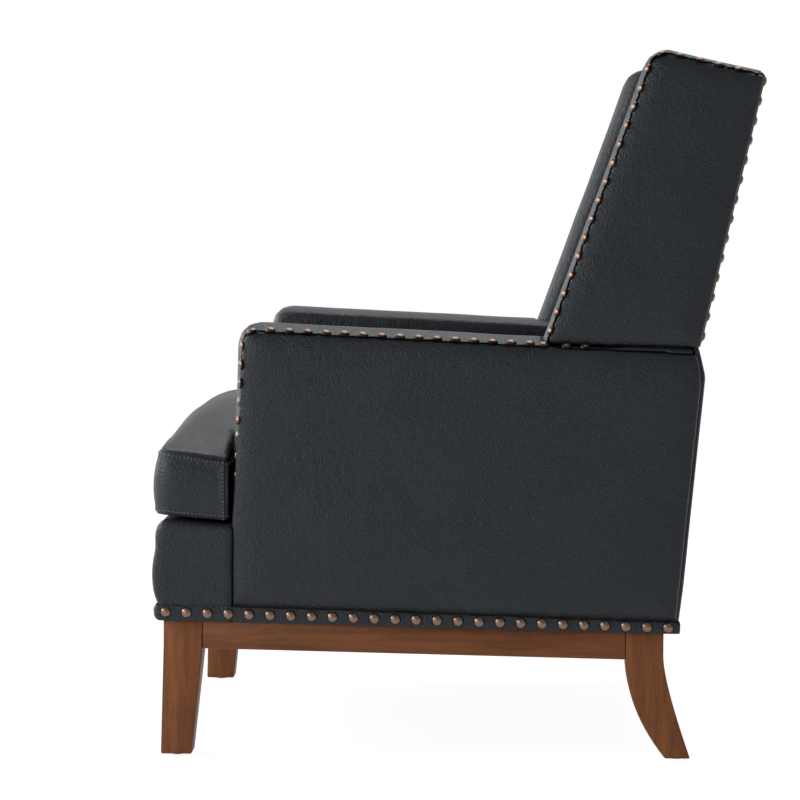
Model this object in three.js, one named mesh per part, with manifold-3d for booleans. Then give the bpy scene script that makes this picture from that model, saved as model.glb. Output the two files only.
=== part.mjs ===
import * as THREE from 'three';
import { mergeVertices } from 'three/addons/utils/BufferGeometryUtils.js';
import Module from 'manifold-3d';

// Wingback armchair in leather over a hardwood frame, in millimetres.
// +X is the sitter's left, -Y is the front and +Z is up. Depths (y) are measured back from the front of
// the seat and heights (z) up from the floor. The finished chair is then moved so that the origin lies
// on the floor under its middle.

const wasm = await Module();
wasm.setup();

// Driving dimensions
const BODY_WIDTH = 720; // outer face to outer face of the arms
const BODY_DEPTH = 815; // front of the seat to the rearmost point of the back
const BACK_HEIGHT = 950.5; // top of the wings, at the front end of their top strip
const CREST_SETBACK = 132; // where that height is reached, ahead of the rearmost point
const BASE_HEIGHT = 186.5; // underside of the body at its front
const BASE_PITCH = slope(1.04); // the body falls towards the back
const ARM_HEIGHT = 578; // top edge of the outer arm panels at their front
const ARM_PITCH = slope(2.7); // the arms fall towards the back
const ARM_WIDTH = 95;
const ARM_FOOT_Y = 109; // front edge of the outer arm panels, low down
const ARM_LEAN = slope(3.4); // the arm fronts lean back above the front border
const DECK_HEIGHT = 325; // top of the seat deck, carried forward to the front of the seat
const SEAT_PITCH = slope(4.5);
const WING_TOP_DEPTH = 149.7; // from the rearmost point to the wings' front edge, at the full height
const WING_FOOT_DROP = 17; // the wings' lower edge, at its front, below the height of the arms
const WING_LEAN = slope(20);
const WING_TOP_PITCH = slope(11.4); // the top strip falls towards the back
const WING_WIDTH = 52;
const WING_INSET = 8; // the wings' outer faces stand in from the arms' outer faces
const SPLIT_DROP = 20; // the lower rear panel ends this far below the height of the arms
const ROLL_DEPTH = 40; // and starts to roll forward this far below its top
const LOWER_BACK_PROUD = 13; // how far it stands behind the upper panel before it rolls
const REAR_LEAN = slope(12.9); // upper rear panel
const LOWER_REAR_LEAN = slope(5.4); // lower rear panel
const GAP = 0.3; // between pieces that rest on or butt against each other
const OVERRUN = 40; // how far a cutting shape passes the piece that it cuts

// Frame timber
const BOARD = 25;

// Lines that several pieces follow

const OUTER_X = BODY_WIDTH / 2;
const ARM_INNER_X = OUTER_X - ARM_WIDTH;
const WING_OUTER_X = OUTER_X - WING_INSET;
const WING_INNER_X = WING_OUTER_X - WING_WIDTH;
const WING_FOOT_HEIGHT = ARM_HEIGHT - WING_FOOT_DROP;
const SPLIT_HEIGHT = ARM_HEIGHT - SPLIT_DROP;
const ROLL_HEIGHT = SPLIT_HEIGHT - ROLL_DEPTH;

/** Slope of a line, from its angle in degrees. */
function slope(degrees) {
  return Math.tan(THREE.MathUtils.degToRad(degrees));
}

/** Height of the underside of the body. */
function baseZ(y) {
  return BASE_HEIGHT - BASE_PITCH * y;
}

/** Height of the top edge of the outer arm panels. */
function armTopZ(y) {
  return ARM_HEIGHT - ARM_PITCH * (y - ARM_FOOT_Y);
}

/** Front edge of the outer arm panels: upright beside the border and the cushion, leaning above. */
function armFrontY(z) {
  return ARM_FOOT_Y + ARM_LEAN * Math.max(z - deckZ(ARM_FOOT_Y), 0);
}

/** Height of the top of the seat deck. */
function deckZ(y) {
  return DECK_HEIGHT - SEAT_PITCH * y;
}

/** Front of the wings' padded strips. */
function wingFrontY(z) {
  return BODY_DEPTH - WING_TOP_DEPTH - WING_LEAN * (BACK_HEIGHT - z);
}

/** Top of the wings' padded strips. */
function wingTopZ(y) {
  return BACK_HEIGHT - WING_TOP_PITCH * (y - BODY_DEPTH + CREST_SETBACK);
}

/** Outer face of the back, above the split. The rounded top corner keeps it within the depth. */
function rearY(z) {
  const cornerZ = wingTopZ(BODY_DEPTH);
  return BODY_DEPTH - REAR_LEAN * (cornerZ - z);
}

/** Outer face of the body's rear, below the split, where it rolls forward to meet the upper face. */
function lowerRearY(z) {
  const rolled = Math.max(z - ROLL_HEIGHT, 0) / (SPLIT_HEIGHT - ROLL_HEIGHT);
  return rearY(SPLIT_HEIGHT) + LOWER_BACK_PROUD * (1 - rolled) - LOWER_REAR_LEAN * (SPLIT_HEIGHT - z);
}

// Finishes

const LEATHER = { color: 0x262b2f, roughness: 0.45, metalness: 0 };
const WALNUT = { color: 0x6d4228, roughness: 0.5, metalness: 0 };
const HARDWOOD = { color: 0xb58a5c, roughness: 0.7, metalness: 0 };
const FOAM = { color: 0xe6d9a8, roughness: 0.95, metalness: 0 };
const DECKING = { color: 0x1d1f21, roughness: 0.95, metalness: 0 };
const WEBBING = { color: 0x8a6a48, roughness: 0.9, metalness: 0 };
const SPRING_STEEL = { color: 0x6f7376, roughness: 0.4, metalness: 1 };
const NYLON = { color: 0x1a1a1a, roughness: 0.6, metalness: 0 };
const BRONZE_ZIP = { color: 0x6a5038, roughness: 0.5, metalness: 1 };

const chair = new THREE.Group();

/** Hangs one named sub-part on the chair. */
function addPart(name, geometry, finish) {
  const part = new THREE.Mesh(geometry, new THREE.MeshStandardMaterial(finish));
  part.name = name;
  chair.add(part);
}

/** Hangs a sub-part of the chair's left side and its mirror image on the right. */
function addPair(name, geometry, finish) {
  addPart(`${name}_left`, geometry, finish);
  addPart(`${name}_right`, mirrored(geometry), finish);
}

// Shaping tools

const ROUND_STEPS = 3;
const EDGE_STEPS = 3;
const MERGE_DISTANCE = 1e-4;

/** Mirror image of a geometry in the chair's middle plane, with its faces turned outwards again. */
function mirrored(geometry) {
  const copy = bare(geometry);
  copy.scale(-1, 1, 1);
  const index = copy.getIndex();
  for (let i = 0; i < index.count; i += 3) {
    const first = index.getX(i);
    index.setX(i, index.getX(i + 2));
    index.setX(i + 2, first);
  }
  copy.computeVertexNormals();
  return copy;
}

/** A copy that holds only positions, with its shared vertices merged. */
function bare(geometry) {
  const copy = geometry.clone();
  copy.deleteAttribute('normal');
  copy.deleteAttribute('uv');
  return mergeVertices(copy, MERGE_DISTANCE);
}

/** Solid of a closed geometry. */
function solidOf(geometry) {
  const merged = bare(geometry);
  const mesh = new wasm.Mesh({
    numProp: 3,
    vertProperties: Float32Array.from(merged.getAttribute('position').array),
    triVerts: Uint32Array.from(merged.getIndex().array),
  });
  return new wasm.Manifold(mesh);
}

/** Geometry of a solid. */
function geometryOf(solid) {
  const mesh = solid.getMesh();
  const geometry = new THREE.BufferGeometry();
  geometry.setAttribute('position', new THREE.BufferAttribute(mesh.vertProperties, 3));
  geometry.setIndex(new THREE.BufferAttribute(mesh.triVerts, 1));
  geometry.computeVertexNormals();
  return geometry;
}

/** The geometry without what the cutters cover. */
function cut(geometry, ...cutters) {
  return geometryOf(cutters.reduce((solid, cutter) => solid.subtract(solidOf(cutter)), solidOf(geometry)));
}

/** The part of the geometry that lies inside every keeper. */
function within(geometry, ...keepers) {
  return geometryOf(keepers.reduce((solid, keeper) => solid.intersect(solidOf(keeper)), solidOf(geometry)));
}

/** The corners turned counter-clockwise. */
function counterClockwise(corners) {
  const doubledArea = corners.reduce((sum, [a, b], i) => {
    const [c, d] = corners[(i + 1) % corners.length];
    return sum + a * d - c * b;
  }, 0);
  return doubledArea > 0 ? corners : [...corners].reverse();
}

/** The outline with its corners, each [a, b, radius], rounded as far as the edges beside them allow. */
function rounded(corners, steps = ROUND_STEPS) {
  return corners.flatMap(([a, b, radius = 0], i) => {
    if (!radius) return [new THREE.Vector2(a, b)];
    const corner = new THREE.Vector2(a, b);
    const [before, after] = [corners.length - 1, 1].map((step) => {
      const [c, d] = corners[(i + step) % corners.length];
      return new THREE.Vector2(c - a, d - b);
    });
    const half = before.angleTo(after) / 2;
    const reach = Math.min(radius / Math.tan(half), before.length() / 2, after.length() / 2);
    const arcRadius = reach * Math.tan(half);
    const inwards = before.clone().normalize().add(after.clone().normalize());
    const centre = inwards.setLength(arcRadius / Math.sin(half)).add(corner);
    const from = before.setLength(reach).add(corner).sub(centre);
    const to = after.setLength(reach).add(corner).sub(centre);
    const turn = Math.atan2(from.cross(to), from.dot(to));
    return Array.from({ length: steps + 1 }, (_, i) => {
      const angle = from.angle() + (turn * i) / steps;
      return new THREE.Vector2(Math.cos(angle), Math.sin(angle)).multiplyScalar(arcRadius).add(centre);
    });
  });
}

/**
 * Outline in (y, z), run across the chair from x0 to x1. With a soft edge the outline is the widest
 * section: both ends draw in by edge.inward over edge.across, as padding under a pulled cover does.
 */
function acrossX(corners, x0, x1, edge = null) {
  const shape = new THREE.Shape(rounded(corners));
  const across = edge ? edge.across : 0;
  const geometry = new THREE.ExtrudeGeometry(shape, {
    depth: x1 - x0 - 2 * across,
    bevelEnabled: Boolean(edge),
    bevelThickness: across,
    bevelSize: edge ? edge.inward : 0,
    bevelOffset: edge ? -edge.inward : 0,
    bevelSegments: edge?.steps ?? EDGE_STEPS,
  });
  geometry.translate(0, 0, across);
  const turn = new THREE.Matrix4().set(0, 0, 1, x0, 1, 0, 0, 0, 0, 1, 0, 0, 0, 0, 0, 1);
  return geometry.applyMatrix4(turn);
}

/** Outline in (x, y), run up from z0 to z1. */
function upZ(corners, z0, z1) {
  const shape = new THREE.Shape(rounded(corners));
  const geometry = new THREE.ExtrudeGeometry(shape, { depth: z1 - z0, bevelEnabled: false });
  return geometry.translate(0, 0, z0);
}

/** Corners of an upright rectangle, or of the band between two lines over a range of depths. */
function bandCorners(y0, y1, lowZ, highZ) {
  return [[y0, lowZ(y0)], [y1, lowZ(y1)], [y1, highZ(y1)], [y0, highZ(y0)]];
}

/** Closed body through rings of as many points each. Its ends run to the tips, or else to their middles. */
function loft(rings, tips = []) {
  const count = rings[0].length;
  const positions = rings.flat().flatMap((point) => point.toArray());
  const index = [];
  for (let r = 0; r + 1 < rings.length; r += 1) {
    for (let i = 0; i < count; i += 1) {
      const next = (i + 1) % count;
      const [a, b] = [r * count + i, r * count + next];
      const [c, d] = [a + count, b + count];
      index.push(a, b, d, a, d, c);
    }
  }
  const middleOf = (ring) => {
    return ring.reduce((sum, point) => sum.add(point), new THREE.Vector3()).divideScalar(count);
  };
  const ends = [[rings[0], 0, tips[0]], [rings.at(-1), (rings.length - 1) * count, tips[1]]];
  for (const [ring, first, tip] of ends) {
    const centre = positions.length / 3;
    positions.push(...(tip ?? middleOf(ring)).toArray());
    for (let i = 0; i < count; i += 1) {
      const next = (i + 1) % count;
      if (first) index.push(first + i, first + next, centre);
      else index.push(next, i, centre);
    }
  }
  const geometry = new THREE.BufferGeometry();
  geometry.setAttribute('position', new THREE.Float32BufferAttribute(positions, 3));
  geometry.setIndex(index);
  geometry.computeVertexNormals();
  return geometry;
}

// Legs, aprons and glides

const BASE_INSET = 10; // the legs and aprons stand in from the body's faces
const LEG_EDGE = 2.5; // eased edges
const APRON_HEIGHT = 37.6;
const APRON_THICKNESS = 22;
const FRONT_LEG_WIDTH = 54;
const FRONT_LEG_DEPTH = 53.2;
const FRONT_LEG_Y = 16.4; // front face at the top
const FRONT_FOOT_WIDTH = 41;
const FRONT_FOOT_DEPTH = 42;
const FRONT_FOOT_Y = 12.5;
const REAR_LEG_WIDTH = 45;
const REAR_LEG_SETBACK = 176; // front face at the top, ahead of the chair's rearmost point
const REAR_LEG_DEPTH = 51.4;
const REAR_SWEEP = 54.5; // how far back the foot's front edge swings
const REAR_FOOT_DEPTH = 34;
const SABRE_START = 143; // height where the rear legs start to curve
const SABRE_FRONT_BEND = 71; // heights of the bends' tangent points
const SABRE_REAR_BEND = 108;
const SABRE_STEPS = 6;
const GLIDE_HEIGHT = 3;
const GLIDE_RADIUS = 9;
const GLIDE_FLAT_RADIUS = 6;
const GLIDE_SIDES = 16;
const CORNER_BLOCK_WIDTH = 32;
const CORNER_BLOCK_HEIGHT = 28;
const DUST_COVER_THICKNESS = 1;

const LEG_FACE_X = OUTER_X - BASE_INSET;
const APRON_INNER_X = LEG_FACE_X - APRON_THICKNESS;
const FRONT_LEG_REAR_Y = FRONT_LEG_Y + FRONT_LEG_DEPTH;
const REAR_LEG_Y = BODY_DEPTH - REAR_LEG_SETBACK;
const REAR_LEG_REAR_Y = REAR_LEG_Y + REAR_LEG_DEPTH;
const FRONT_APRON_REAR_Y = FRONT_LEG_Y + APRON_THICKNESS;
const REAR_APRON_FRONT_Y = REAR_LEG_REAR_Y - APRON_THICKNESS;

/** Height of the aprons' lower edge. */
function apronZ(y) {
  return baseZ(y) - GAP - APRON_HEIGHT;
}

/** Section of a front leg: a rectangle with eased corners whose outer face stays in one plane. */
function legRing(width, y0, depth, heightAt) {
  const [x0, x1, y1] = [LEG_FACE_X - width, LEG_FACE_X, y0 + depth];
  const ring = [
    [x0, y0 + LEG_EDGE], [x0 + LEG_EDGE, y0], [x1 - LEG_EDGE, y0], [x1, y0 + LEG_EDGE],
    [x1, y1 - LEG_EDGE], [x1 - LEG_EDGE, y1], [x0 + LEG_EDGE, y1], [x0, y1 - LEG_EDGE],
  ];
  return ring.map(([x, y]) => new THREE.Vector3(x, y, heightAt(y)));
}

/** Square front leg: upright beside the aprons, then tapering on its inner and rear faces. */
function frontLeg() {
  const top = (y) => baseZ(y) - GAP;
  return loft([
    legRing(FRONT_FOOT_WIDTH, FRONT_FOOT_Y, FRONT_FOOT_DEPTH, () => GLIDE_HEIGHT),
    legRing(FRONT_LEG_WIDTH, FRONT_LEG_Y, FRONT_LEG_DEPTH, () => apronZ(FRONT_LEG_REAR_Y)),
    legRing(FRONT_LEG_WIDTH, FRONT_LEG_Y, FRONT_LEG_DEPTH, top),
  ]);
}

/** Sabre rear leg: upright beside the aprons, then sweeping back to a narrower foot. */
function rearLeg() {
  const sabre = new THREE.Shape();
  const footY = REAR_LEG_Y + REAR_SWEEP;
  sabre.moveTo(REAR_LEG_Y, baseZ(REAR_LEG_Y) - GAP);
  sabre.lineTo(REAR_LEG_Y, SABRE_START);
  sabre.quadraticCurveTo(REAR_LEG_Y, SABRE_FRONT_BEND, footY, GLIDE_HEIGHT);
  sabre.lineTo(footY + REAR_FOOT_DEPTH, GLIDE_HEIGHT);
  sabre.quadraticCurveTo(REAR_LEG_REAR_Y, SABRE_REAR_BEND, REAR_LEG_REAR_Y, SABRE_START);
  sabre.lineTo(REAR_LEG_REAR_Y, baseZ(REAR_LEG_REAR_Y) - GAP);
  const corners = sabre.getPoints(SABRE_STEPS).map(({ x, y }) => [x, y]);
  const edge = { across: LEG_EDGE, inward: LEG_EDGE, steps: 1 };
  return acrossX(corners.slice(0, -1), LEG_FACE_X - REAR_LEG_WIDTH, LEG_FACE_X, edge);
}

/** Triangular block across an inner corner of the base, just clear of the leg's own corner. */
function cornerBlock(front, legWidth, legReach) {
  const [apronY, side] = front ? [FRONT_APRON_REAR_Y, 1] : [REAR_APRON_FRONT_Y, -1];
  const legInwards = legWidth - APRON_THICKNESS;
  const near = legInwards + legReach + 2 * GAP;
  const far = near + CORNER_BLOCK_WIDTH;
  const [x, y] = [APRON_INNER_X - GAP, apronY + side * GAP];
  const corners = [[x, y + side * near], [x, y + side * far], [x - far, y], [x - near, y]];
  const lowestY = Math.max(...corners.map(([, depth]) => depth));
  const top = baseZ(lowestY) - DUST_COVER_THICKNESS - 2 * GAP;
  return upZ(counterClockwise(corners), top - CORNER_BLOCK_HEIGHT, top);
}

/** Small domed glide under a foot, flat where it stands. */
function glide(x, y) {
  const profile = [
    [0, 0], [GLIDE_FLAT_RADIUS, 0], [GLIDE_RADIUS, GLIDE_HEIGHT / 2], [GLIDE_RADIUS, GLIDE_HEIGHT - GAP],
    [0, GLIDE_HEIGHT - GAP],
  ].map(([radius, height]) => new THREE.Vector2(radius, height));
  const geometry = new THREE.LatheGeometry(profile, GLIDE_SIDES);
  return geometry.rotateX(Math.PI / 2).translate(x, y, 0);
}

function addBase() {
  addPair('front_leg', frontLeg(), WALNUT);
  addPair('rear_leg', rearLeg(), WALNUT);
  const under = (y) => baseZ(y) - GAP;
  const side = bandCorners(FRONT_LEG_REAR_Y + GAP, REAR_LEG_Y - GAP, apronZ, under);
  addPair('side_apron', acrossX(side, APRON_INNER_X, LEG_FACE_X), WALNUT);
  const frontX = LEG_FACE_X - FRONT_LEG_WIDTH - GAP;
  const front = bandCorners(FRONT_LEG_Y, FRONT_APRON_REAR_Y, apronZ, under);
  addPart('front_apron', acrossX(front, -frontX, frontX), WALNUT);
  const rearX = LEG_FACE_X - REAR_LEG_WIDTH - GAP;
  const rear = bandCorners(REAR_APRON_FRONT_Y, REAR_LEG_REAR_Y, apronZ, under);
  addPart('rear_apron', acrossX(rear, -rearX, rearX), WALNUT);
  const frontReach = FRONT_LEG_REAR_Y - FRONT_APRON_REAR_Y;
  const rearReach = REAR_APRON_FRONT_Y - REAR_LEG_Y;
  addPair('front_corner_block', cornerBlock(true, FRONT_LEG_WIDTH, frontReach), HARDWOOD);
  addPair('rear_corner_block', cornerBlock(false, REAR_LEG_WIDTH, rearReach), HARDWOOD);
  const frontFootX = LEG_FACE_X - FRONT_FOOT_WIDTH / 2;
  addPair('front_glide', glide(frontFootX, FRONT_FOOT_Y + FRONT_FOOT_DEPTH / 2), NYLON);
  const rearFootY = REAR_LEG_Y + REAR_SWEEP + REAR_FOOT_DEPTH / 2;
  addPair('rear_glide', glide(LEG_FACE_X - REAR_LEG_WIDTH / 2, rearFootY), NYLON);
}

// Upholstery thicknesses shared by the frame and the covers

const PANEL_THICKNESS = 14; // outer arm panels
const PANEL_EDGE = { across: 3, inward: 3, steps: 1 }; // rolled edges of the thin panels
const STRIP_SOFT_SHARE = 0.45; // share of a padded strip's width over which it rounds off at each side
const ARM_CROWN = 11; // the arm covers' padded tops stand over the outer panels
const ARM_SIDE_PAD = 12;
const ARM_TOP_PAD = 14;
const ARM_STRIP_PROUD = 4; // the padded front strips stand ahead of the panels, low down
const ARM_STRIP_LEAN = slope(2.35);
const ARM_CORNER_RADIUS = 18;
const ARM_TUCK = 15; // the covers run down below the top of the deck
const WING_CROWN = 6;
const WING_PAD = 16;
const WING_SIDE_PAD = 12;
const WING_PANEL_THICKNESS = 12;
const WING_BOTTOM_PITCH = slope(0.9);
const WING_TOP_RADIUS = 16;
const REAR_PANEL_THICKNESS = 6;
const REAR_EDGE = { across: 4, inward: 3 }; // rolled side edges of the rear panels
const REAR_TOP_RADIUS = 9;
const BACK_KNEE_DROP = 3; // the inside back leans more above this, measured down from the height of the arms
const BACK_TOP_THICKNESS = 123.6; // face to outer face, at the height of the rear top corner
const BACK_FACE_LEAN = slope(18);
const BACK_FOOT_LEAN = slope(8);
const BACK_PAD = 50;
const BACK_CROWN = 10;
const BACK_FLAP = 20; // padding over the top rail
const WEB_THICKNESS = 2;
const DECK_COVER = 2;
const DECK_PAD = 22;
const SPRING_WIRE = 3.8;
const BORDER_FOOT_Y = 5;
const BORDER_BULGE = 5;
const BORDER_PAD = 26;
const BORDER_LIP = 22;
const BORDER_KNEE = 282; // height where the front border starts to roll over
const BORDER_RADIUS = 22;
const BORDER_SIDE_ROLL = 8;
const BULGE_STEPS = 4;

const BACK_KNEE_HEIGHT = ARM_HEIGHT - BACK_KNEE_DROP;
const BACK_RISE = wingTopZ(BODY_DEPTH) - BACK_KNEE_HEIGHT;
const BACK_FACE_Y = BODY_DEPTH - BACK_TOP_THICKNESS - BACK_FACE_LEAN * BACK_RISE;
const PANEL_INNER_X = OUTER_X - PANEL_THICKNESS;
const RAIL_OUTER_X = PANEL_INNER_X - GAP;
const RAIL_INNER_X = RAIL_OUTER_X - BOARD;
const UPRIGHT_OUTER_X = RAIL_INNER_X - GAP;
const UPRIGHT_INNER_X = UPRIGHT_OUTER_X - BOARD;
const BORDER_REAR_Y = ARM_FOOT_Y - GAP;
const MEET_ROUNDS = 12;

/** Corner where a line given as depth over height meets one given as height over depth. */
function meet(yOf, zOf) {
  let y = 0;
  for (let round = 0; round < MEET_ROUNDS; round += 1) y = yOf(zOf(y));
  return [y, zOf(y)];
}

/** A line moved by a distance. */
function moved(line, distance) {
  return (at) => line(at) + distance;
}

/** Face of the inside back at its middle. */
function backFaceY(z) {
  const lean = z > BACK_KNEE_HEIGHT ? BACK_FACE_LEAN : BACK_FOOT_LEAN;
  return BACK_FACE_Y + lean * (z - BACK_KNEE_HEIGHT);
}

/** Lower edge of the wings. */
function wingBottomZ(y) {
  return WING_FOOT_HEIGHT - WING_BOTTOM_PITCH * (y - wingFrontY(WING_FOOT_HEIGHT));
}

/** Front of the arms' padded strips. */
function armStripY(z) {
  return ARM_FOOT_Y - ARM_STRIP_PROUD + ARM_STRIP_LEAN * Math.max(z - deckZ(ARM_FOOT_Y), 0);
}

const padRearY = moved(backFaceY, BACK_PAD);
const uprightFrontY = moved(padRearY, WEB_THICKNESS + 2 * GAP);
const rearInnerY = moved(rearY, -REAR_PANEL_THICKNESS - GAP);
const lowerRearInnerY = moved(lowerRearY, -REAR_PANEL_THICKNESS - GAP);
const armSkirtZ = moved(deckZ, -ARM_TUCK);
const deckUnderZ = moved(deckZ, -DECK_COVER - GAP - DECK_PAD);
const springZ = moved(deckUnderZ, -GAP - SPRING_WIRE / 2);
const flapUnderZ = moved(wingTopZ, -BACK_FLAP);
const bodyUnderZ = moved(baseZ, GAP);

// Body frame

const FRONT_RAIL_Y = BORDER_FOOT_Y + BORDER_PAD + GAP;
const SIDE_RAIL_HEIGHT = 90;
const REAR_RAIL_SETBACK = 223; // front face of the rear seat rail, ahead of the chair's rearmost point
const REAR_TACK_RAIL_HEIGHT = 60;
const BACK_TACK_RAIL_Z = 320;
const BACK_TACK_RAIL_HEIGHT = 50;
const TOP_RAIL_HEIGHT = 70;
const ARM_POST_DEPTH = 40;
const WING_FRAME_THICKNESS = 15;
const WING_FRAME_FOOT = 8; // the wing frames end above the wings' lower edge
const SPRING_COUNT = 5;
const SPRING_SIDE_MARGIN = 57; // from the outermost springs' centre lines to the arms' inner faces
const SPRING_HALF_WIDTH = 22;
const SPRING_WAVE = 55; // length of one wave, out and back
const SPRING_FULLNESS = 7; // how far each loop swells past a plain wave
const SPRING_SIDES = 5;
const STEPS_PER_WAVE = 8;
const WEB_COUNT = 3;
const WEB_WIDTH = 50;
const WEB_FIRST_Z = 440;
const WEB_TOP_DROP = 210.5; // the highest web's lower edge, below the height of the back
const WEB_LAP = 20; // the webs lie on the uprights by this much

const REAR_RAIL_Y = BODY_DEPTH - REAR_RAIL_SETBACK;
const WEB_SPACING = (BACK_HEIGHT - WEB_TOP_DROP - WEB_FIRST_Z) / (WEB_COUNT - 1);

/** Centre line of a zigzag seat spring, on the pitched line under the deck. */
class SpringCurve extends THREE.Curve {
  constructor(x, y0, y1) {
    super();
    Object.assign(this, { x, y0, y1 });
  }

  getPoint(t, target = new THREE.Vector3()) {
    const along = this.y0 + (this.y1 - this.y0) * t;
    const phase = (2 * Math.PI * (along - this.y0)) / SPRING_WAVE;
    const y = along - SPRING_FULLNESS * Math.sin(2 * phase);
    return target.set(this.x + SPRING_HALF_WIDTH * Math.sin(phase), y, springZ(y));
  }
}

/** Zigzag steel spring between the front and rear seat rails. */
function seatSpring(x) {
  const y0 = FRONT_RAIL_Y + BOARD / 2;
  const y1 = REAR_RAIL_Y + BOARD / 2;
  const section = new THREE.Shape();
  for (let side = 0; side < SPRING_SIDES; side += 1) {
    const angle = (2 * Math.PI * side) / SPRING_SIDES;
    const point = [Math.cos(angle) * SPRING_WIRE / 2, Math.sin(angle) * SPRING_WIRE / 2];
    if (side) section.lineTo(...point);
    else section.moveTo(...point);
  }
  const steps = Math.round(((y1 - y0) / SPRING_WAVE) * STEPS_PER_WAVE);
  return new THREE.ExtrudeGeometry(section, { steps, extrudePath: new SpringCurve(x, y0, y1) });
}

function addSeatFrame() {
  const frontRailRear = FRONT_RAIL_Y + BOARD;
  const underSpring = (y) => springZ(y) - SPRING_WIRE / 2 - GAP;
  const frontRail = bandCorners(FRONT_RAIL_Y, frontRailRear, bodyUnderZ, underSpring);
  addPart('front_rail', acrossX(frontRail, -RAIL_OUTER_X, RAIL_OUTER_X), HARDWOOD);
  const sideRear = lowerRearInnerY(baseZ(lowerRearInnerY(BASE_HEIGHT)));
  const sideTop = moved(bodyUnderZ, SIDE_RAIL_HEIGHT);
  const sideRail = bandCorners(frontRailRear + GAP, sideRear, bodyUnderZ, sideTop);
  addPair('side_rail', acrossX(sideRail, RAIL_INNER_X, RAIL_OUTER_X), HARDWOOD);
  const betweenX = UPRIGHT_INNER_X - GAP;
  const rearRail = bandCorners(REAR_RAIL_Y, REAR_RAIL_Y + BOARD, bodyUnderZ, underSpring);
  addPart('rear_seat_rail', acrossX(rearRail, -betweenX, betweenX), HARDWOOD);
  const tackTop = moved(bodyUnderZ, REAR_TACK_RAIL_HEIGHT);
  const tackRail = bandCorners(sideRear - BOARD, sideRear, bodyUnderZ, tackTop);
  addPart('rear_tack_rail', acrossX(tackRail, -betweenX, betweenX), HARDWOOD);
  for (let i = 0; i < SPRING_COUNT; i += 1) {
    const x = (2 * i / (SPRING_COUNT - 1) - 1) * (ARM_INNER_X - SPRING_SIDE_MARGIN);
    addPart(`seat_spring_${i + 1}`, seatSpring(x), SPRING_STEEL);
  }
}

function addArmFrame() {
  const innerX = ARM_INNER_X + ARM_SIDE_PAD + GAP;
  const railTop = moved(armTopZ, -ARM_TOP_PAD - GAP);
  const railUnder = moved(railTop, -BOARD);
  const postY = armFrontY(ARM_HEIGHT) + ARM_TOP_PAD + GAP;
  const postFoot = moved(bodyUnderZ, SIDE_RAIL_HEIGHT + GAP);
  const post = bandCorners(postY, postY + ARM_POST_DEPTH, postFoot, moved(railUnder, -GAP));
  addPair('front_arm_post', acrossX(post, innerX, RAIL_OUTER_X), HARDWOOD);
  const [railRear] = meet(moved(uprightFrontY, -GAP), railUnder);
  const rail = bandCorners(postY, railRear, railUnder, railTop);
  addPair('arm_rail', acrossX(rail, innerX, RAIL_OUTER_X), HARDWOOD);
}

function addBackFrame() {
  const knee = [uprightFrontY(BACK_KNEE_HEIGHT), BACK_KNEE_HEIGHT];
  const top = moved(flapUnderZ, -GAP);
  const upright = [
    meet(uprightFrontY, bodyUnderZ), meet(lowerRearInnerY, bodyUnderZ),
    [rearInnerY(SPLIT_HEIGHT), SPLIT_HEIGHT], meet(rearInnerY, top), meet(uprightFrontY, top), knee,
  ];
  addPair('back_upright', acrossX(upright, UPRIGHT_INNER_X, UPRIGHT_OUTER_X), HARDWOOD);
  const betweenX = UPRIGHT_INNER_X - GAP;
  const railUnder = moved(top, -TOP_RAIL_HEIGHT);
  const topRail = [
    meet(uprightFrontY, railUnder), meet(rearInnerY, railUnder),
    meet(rearInnerY, top), meet(uprightFrontY, top),
  ];
  addPart('back_top_rail', acrossX(topRail, -betweenX, betweenX), HARDWOOD);
  const tackTop = BACK_TACK_RAIL_Z + BACK_TACK_RAIL_HEIGHT;
  const [lowY, highY] = [uprightFrontY(BACK_TACK_RAIL_Z), uprightFrontY(tackTop)];
  const tackRail = [
    [lowY, BACK_TACK_RAIL_Z], [lowY + BOARD, BACK_TACK_RAIL_Z], [highY + BOARD, tackTop], [highY, tackTop],
  ];
  addPart('back_tack_rail', acrossX(tackRail, -betweenX, betweenX), HARDWOOD);
  for (let i = 0; i < WEB_COUNT; i += 1) {
    const z = WEB_FIRST_Z + i * WEB_SPACING;
    const web = [z, z + WEB_WIDTH].map((height) => padRearY(height) + GAP);
    const corners = [
      [web[0], z], [web[0] + WEB_THICKNESS, z],
      [web[1] + WEB_THICKNESS, z + WEB_WIDTH], [web[1], z + WEB_WIDTH],
    ];
    const halfWidth = UPRIGHT_INNER_X + WEB_LAP;
    addPart(`back_web_${i + 1}`, acrossX(corners, -halfWidth, halfWidth), WEBBING);
  }
  const wingFrame = [
    meet(moved(wingFrontY, WING_PAD), moved(wingBottomZ, WING_FRAME_FOOT)),
    meet(rearInnerY, moved(wingBottomZ, WING_FRAME_FOOT)),
    meet(rearInnerY, moved(wingTopZ, -WING_PAD)),
    meet(moved(wingFrontY, WING_PAD), moved(wingTopZ, -WING_PAD)),
  ];
  const innerX = UPRIGHT_OUTER_X + GAP;
  addPair('wing_frame', acrossX(wingFrame, innerX, innerX + WING_FRAME_THICKNESS), HARDWOOD);
}

/** Corners of the space behind the inside back's padding, between a lower and an upper line. */
function behindPad(lowZ, highZ) {
  const farY = () => BODY_DEPTH + OVERRUN;
  const [low, high] = [moved(lowZ, -OVERRUN), highZ];
  return [
    meet(padRearY, low), meet(farY, low), meet(farY, high), meet(padRearY, high),
    [padRearY(BACK_KNEE_HEIGHT), BACK_KNEE_HEIGHT],
  ];
}

// Arms

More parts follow.
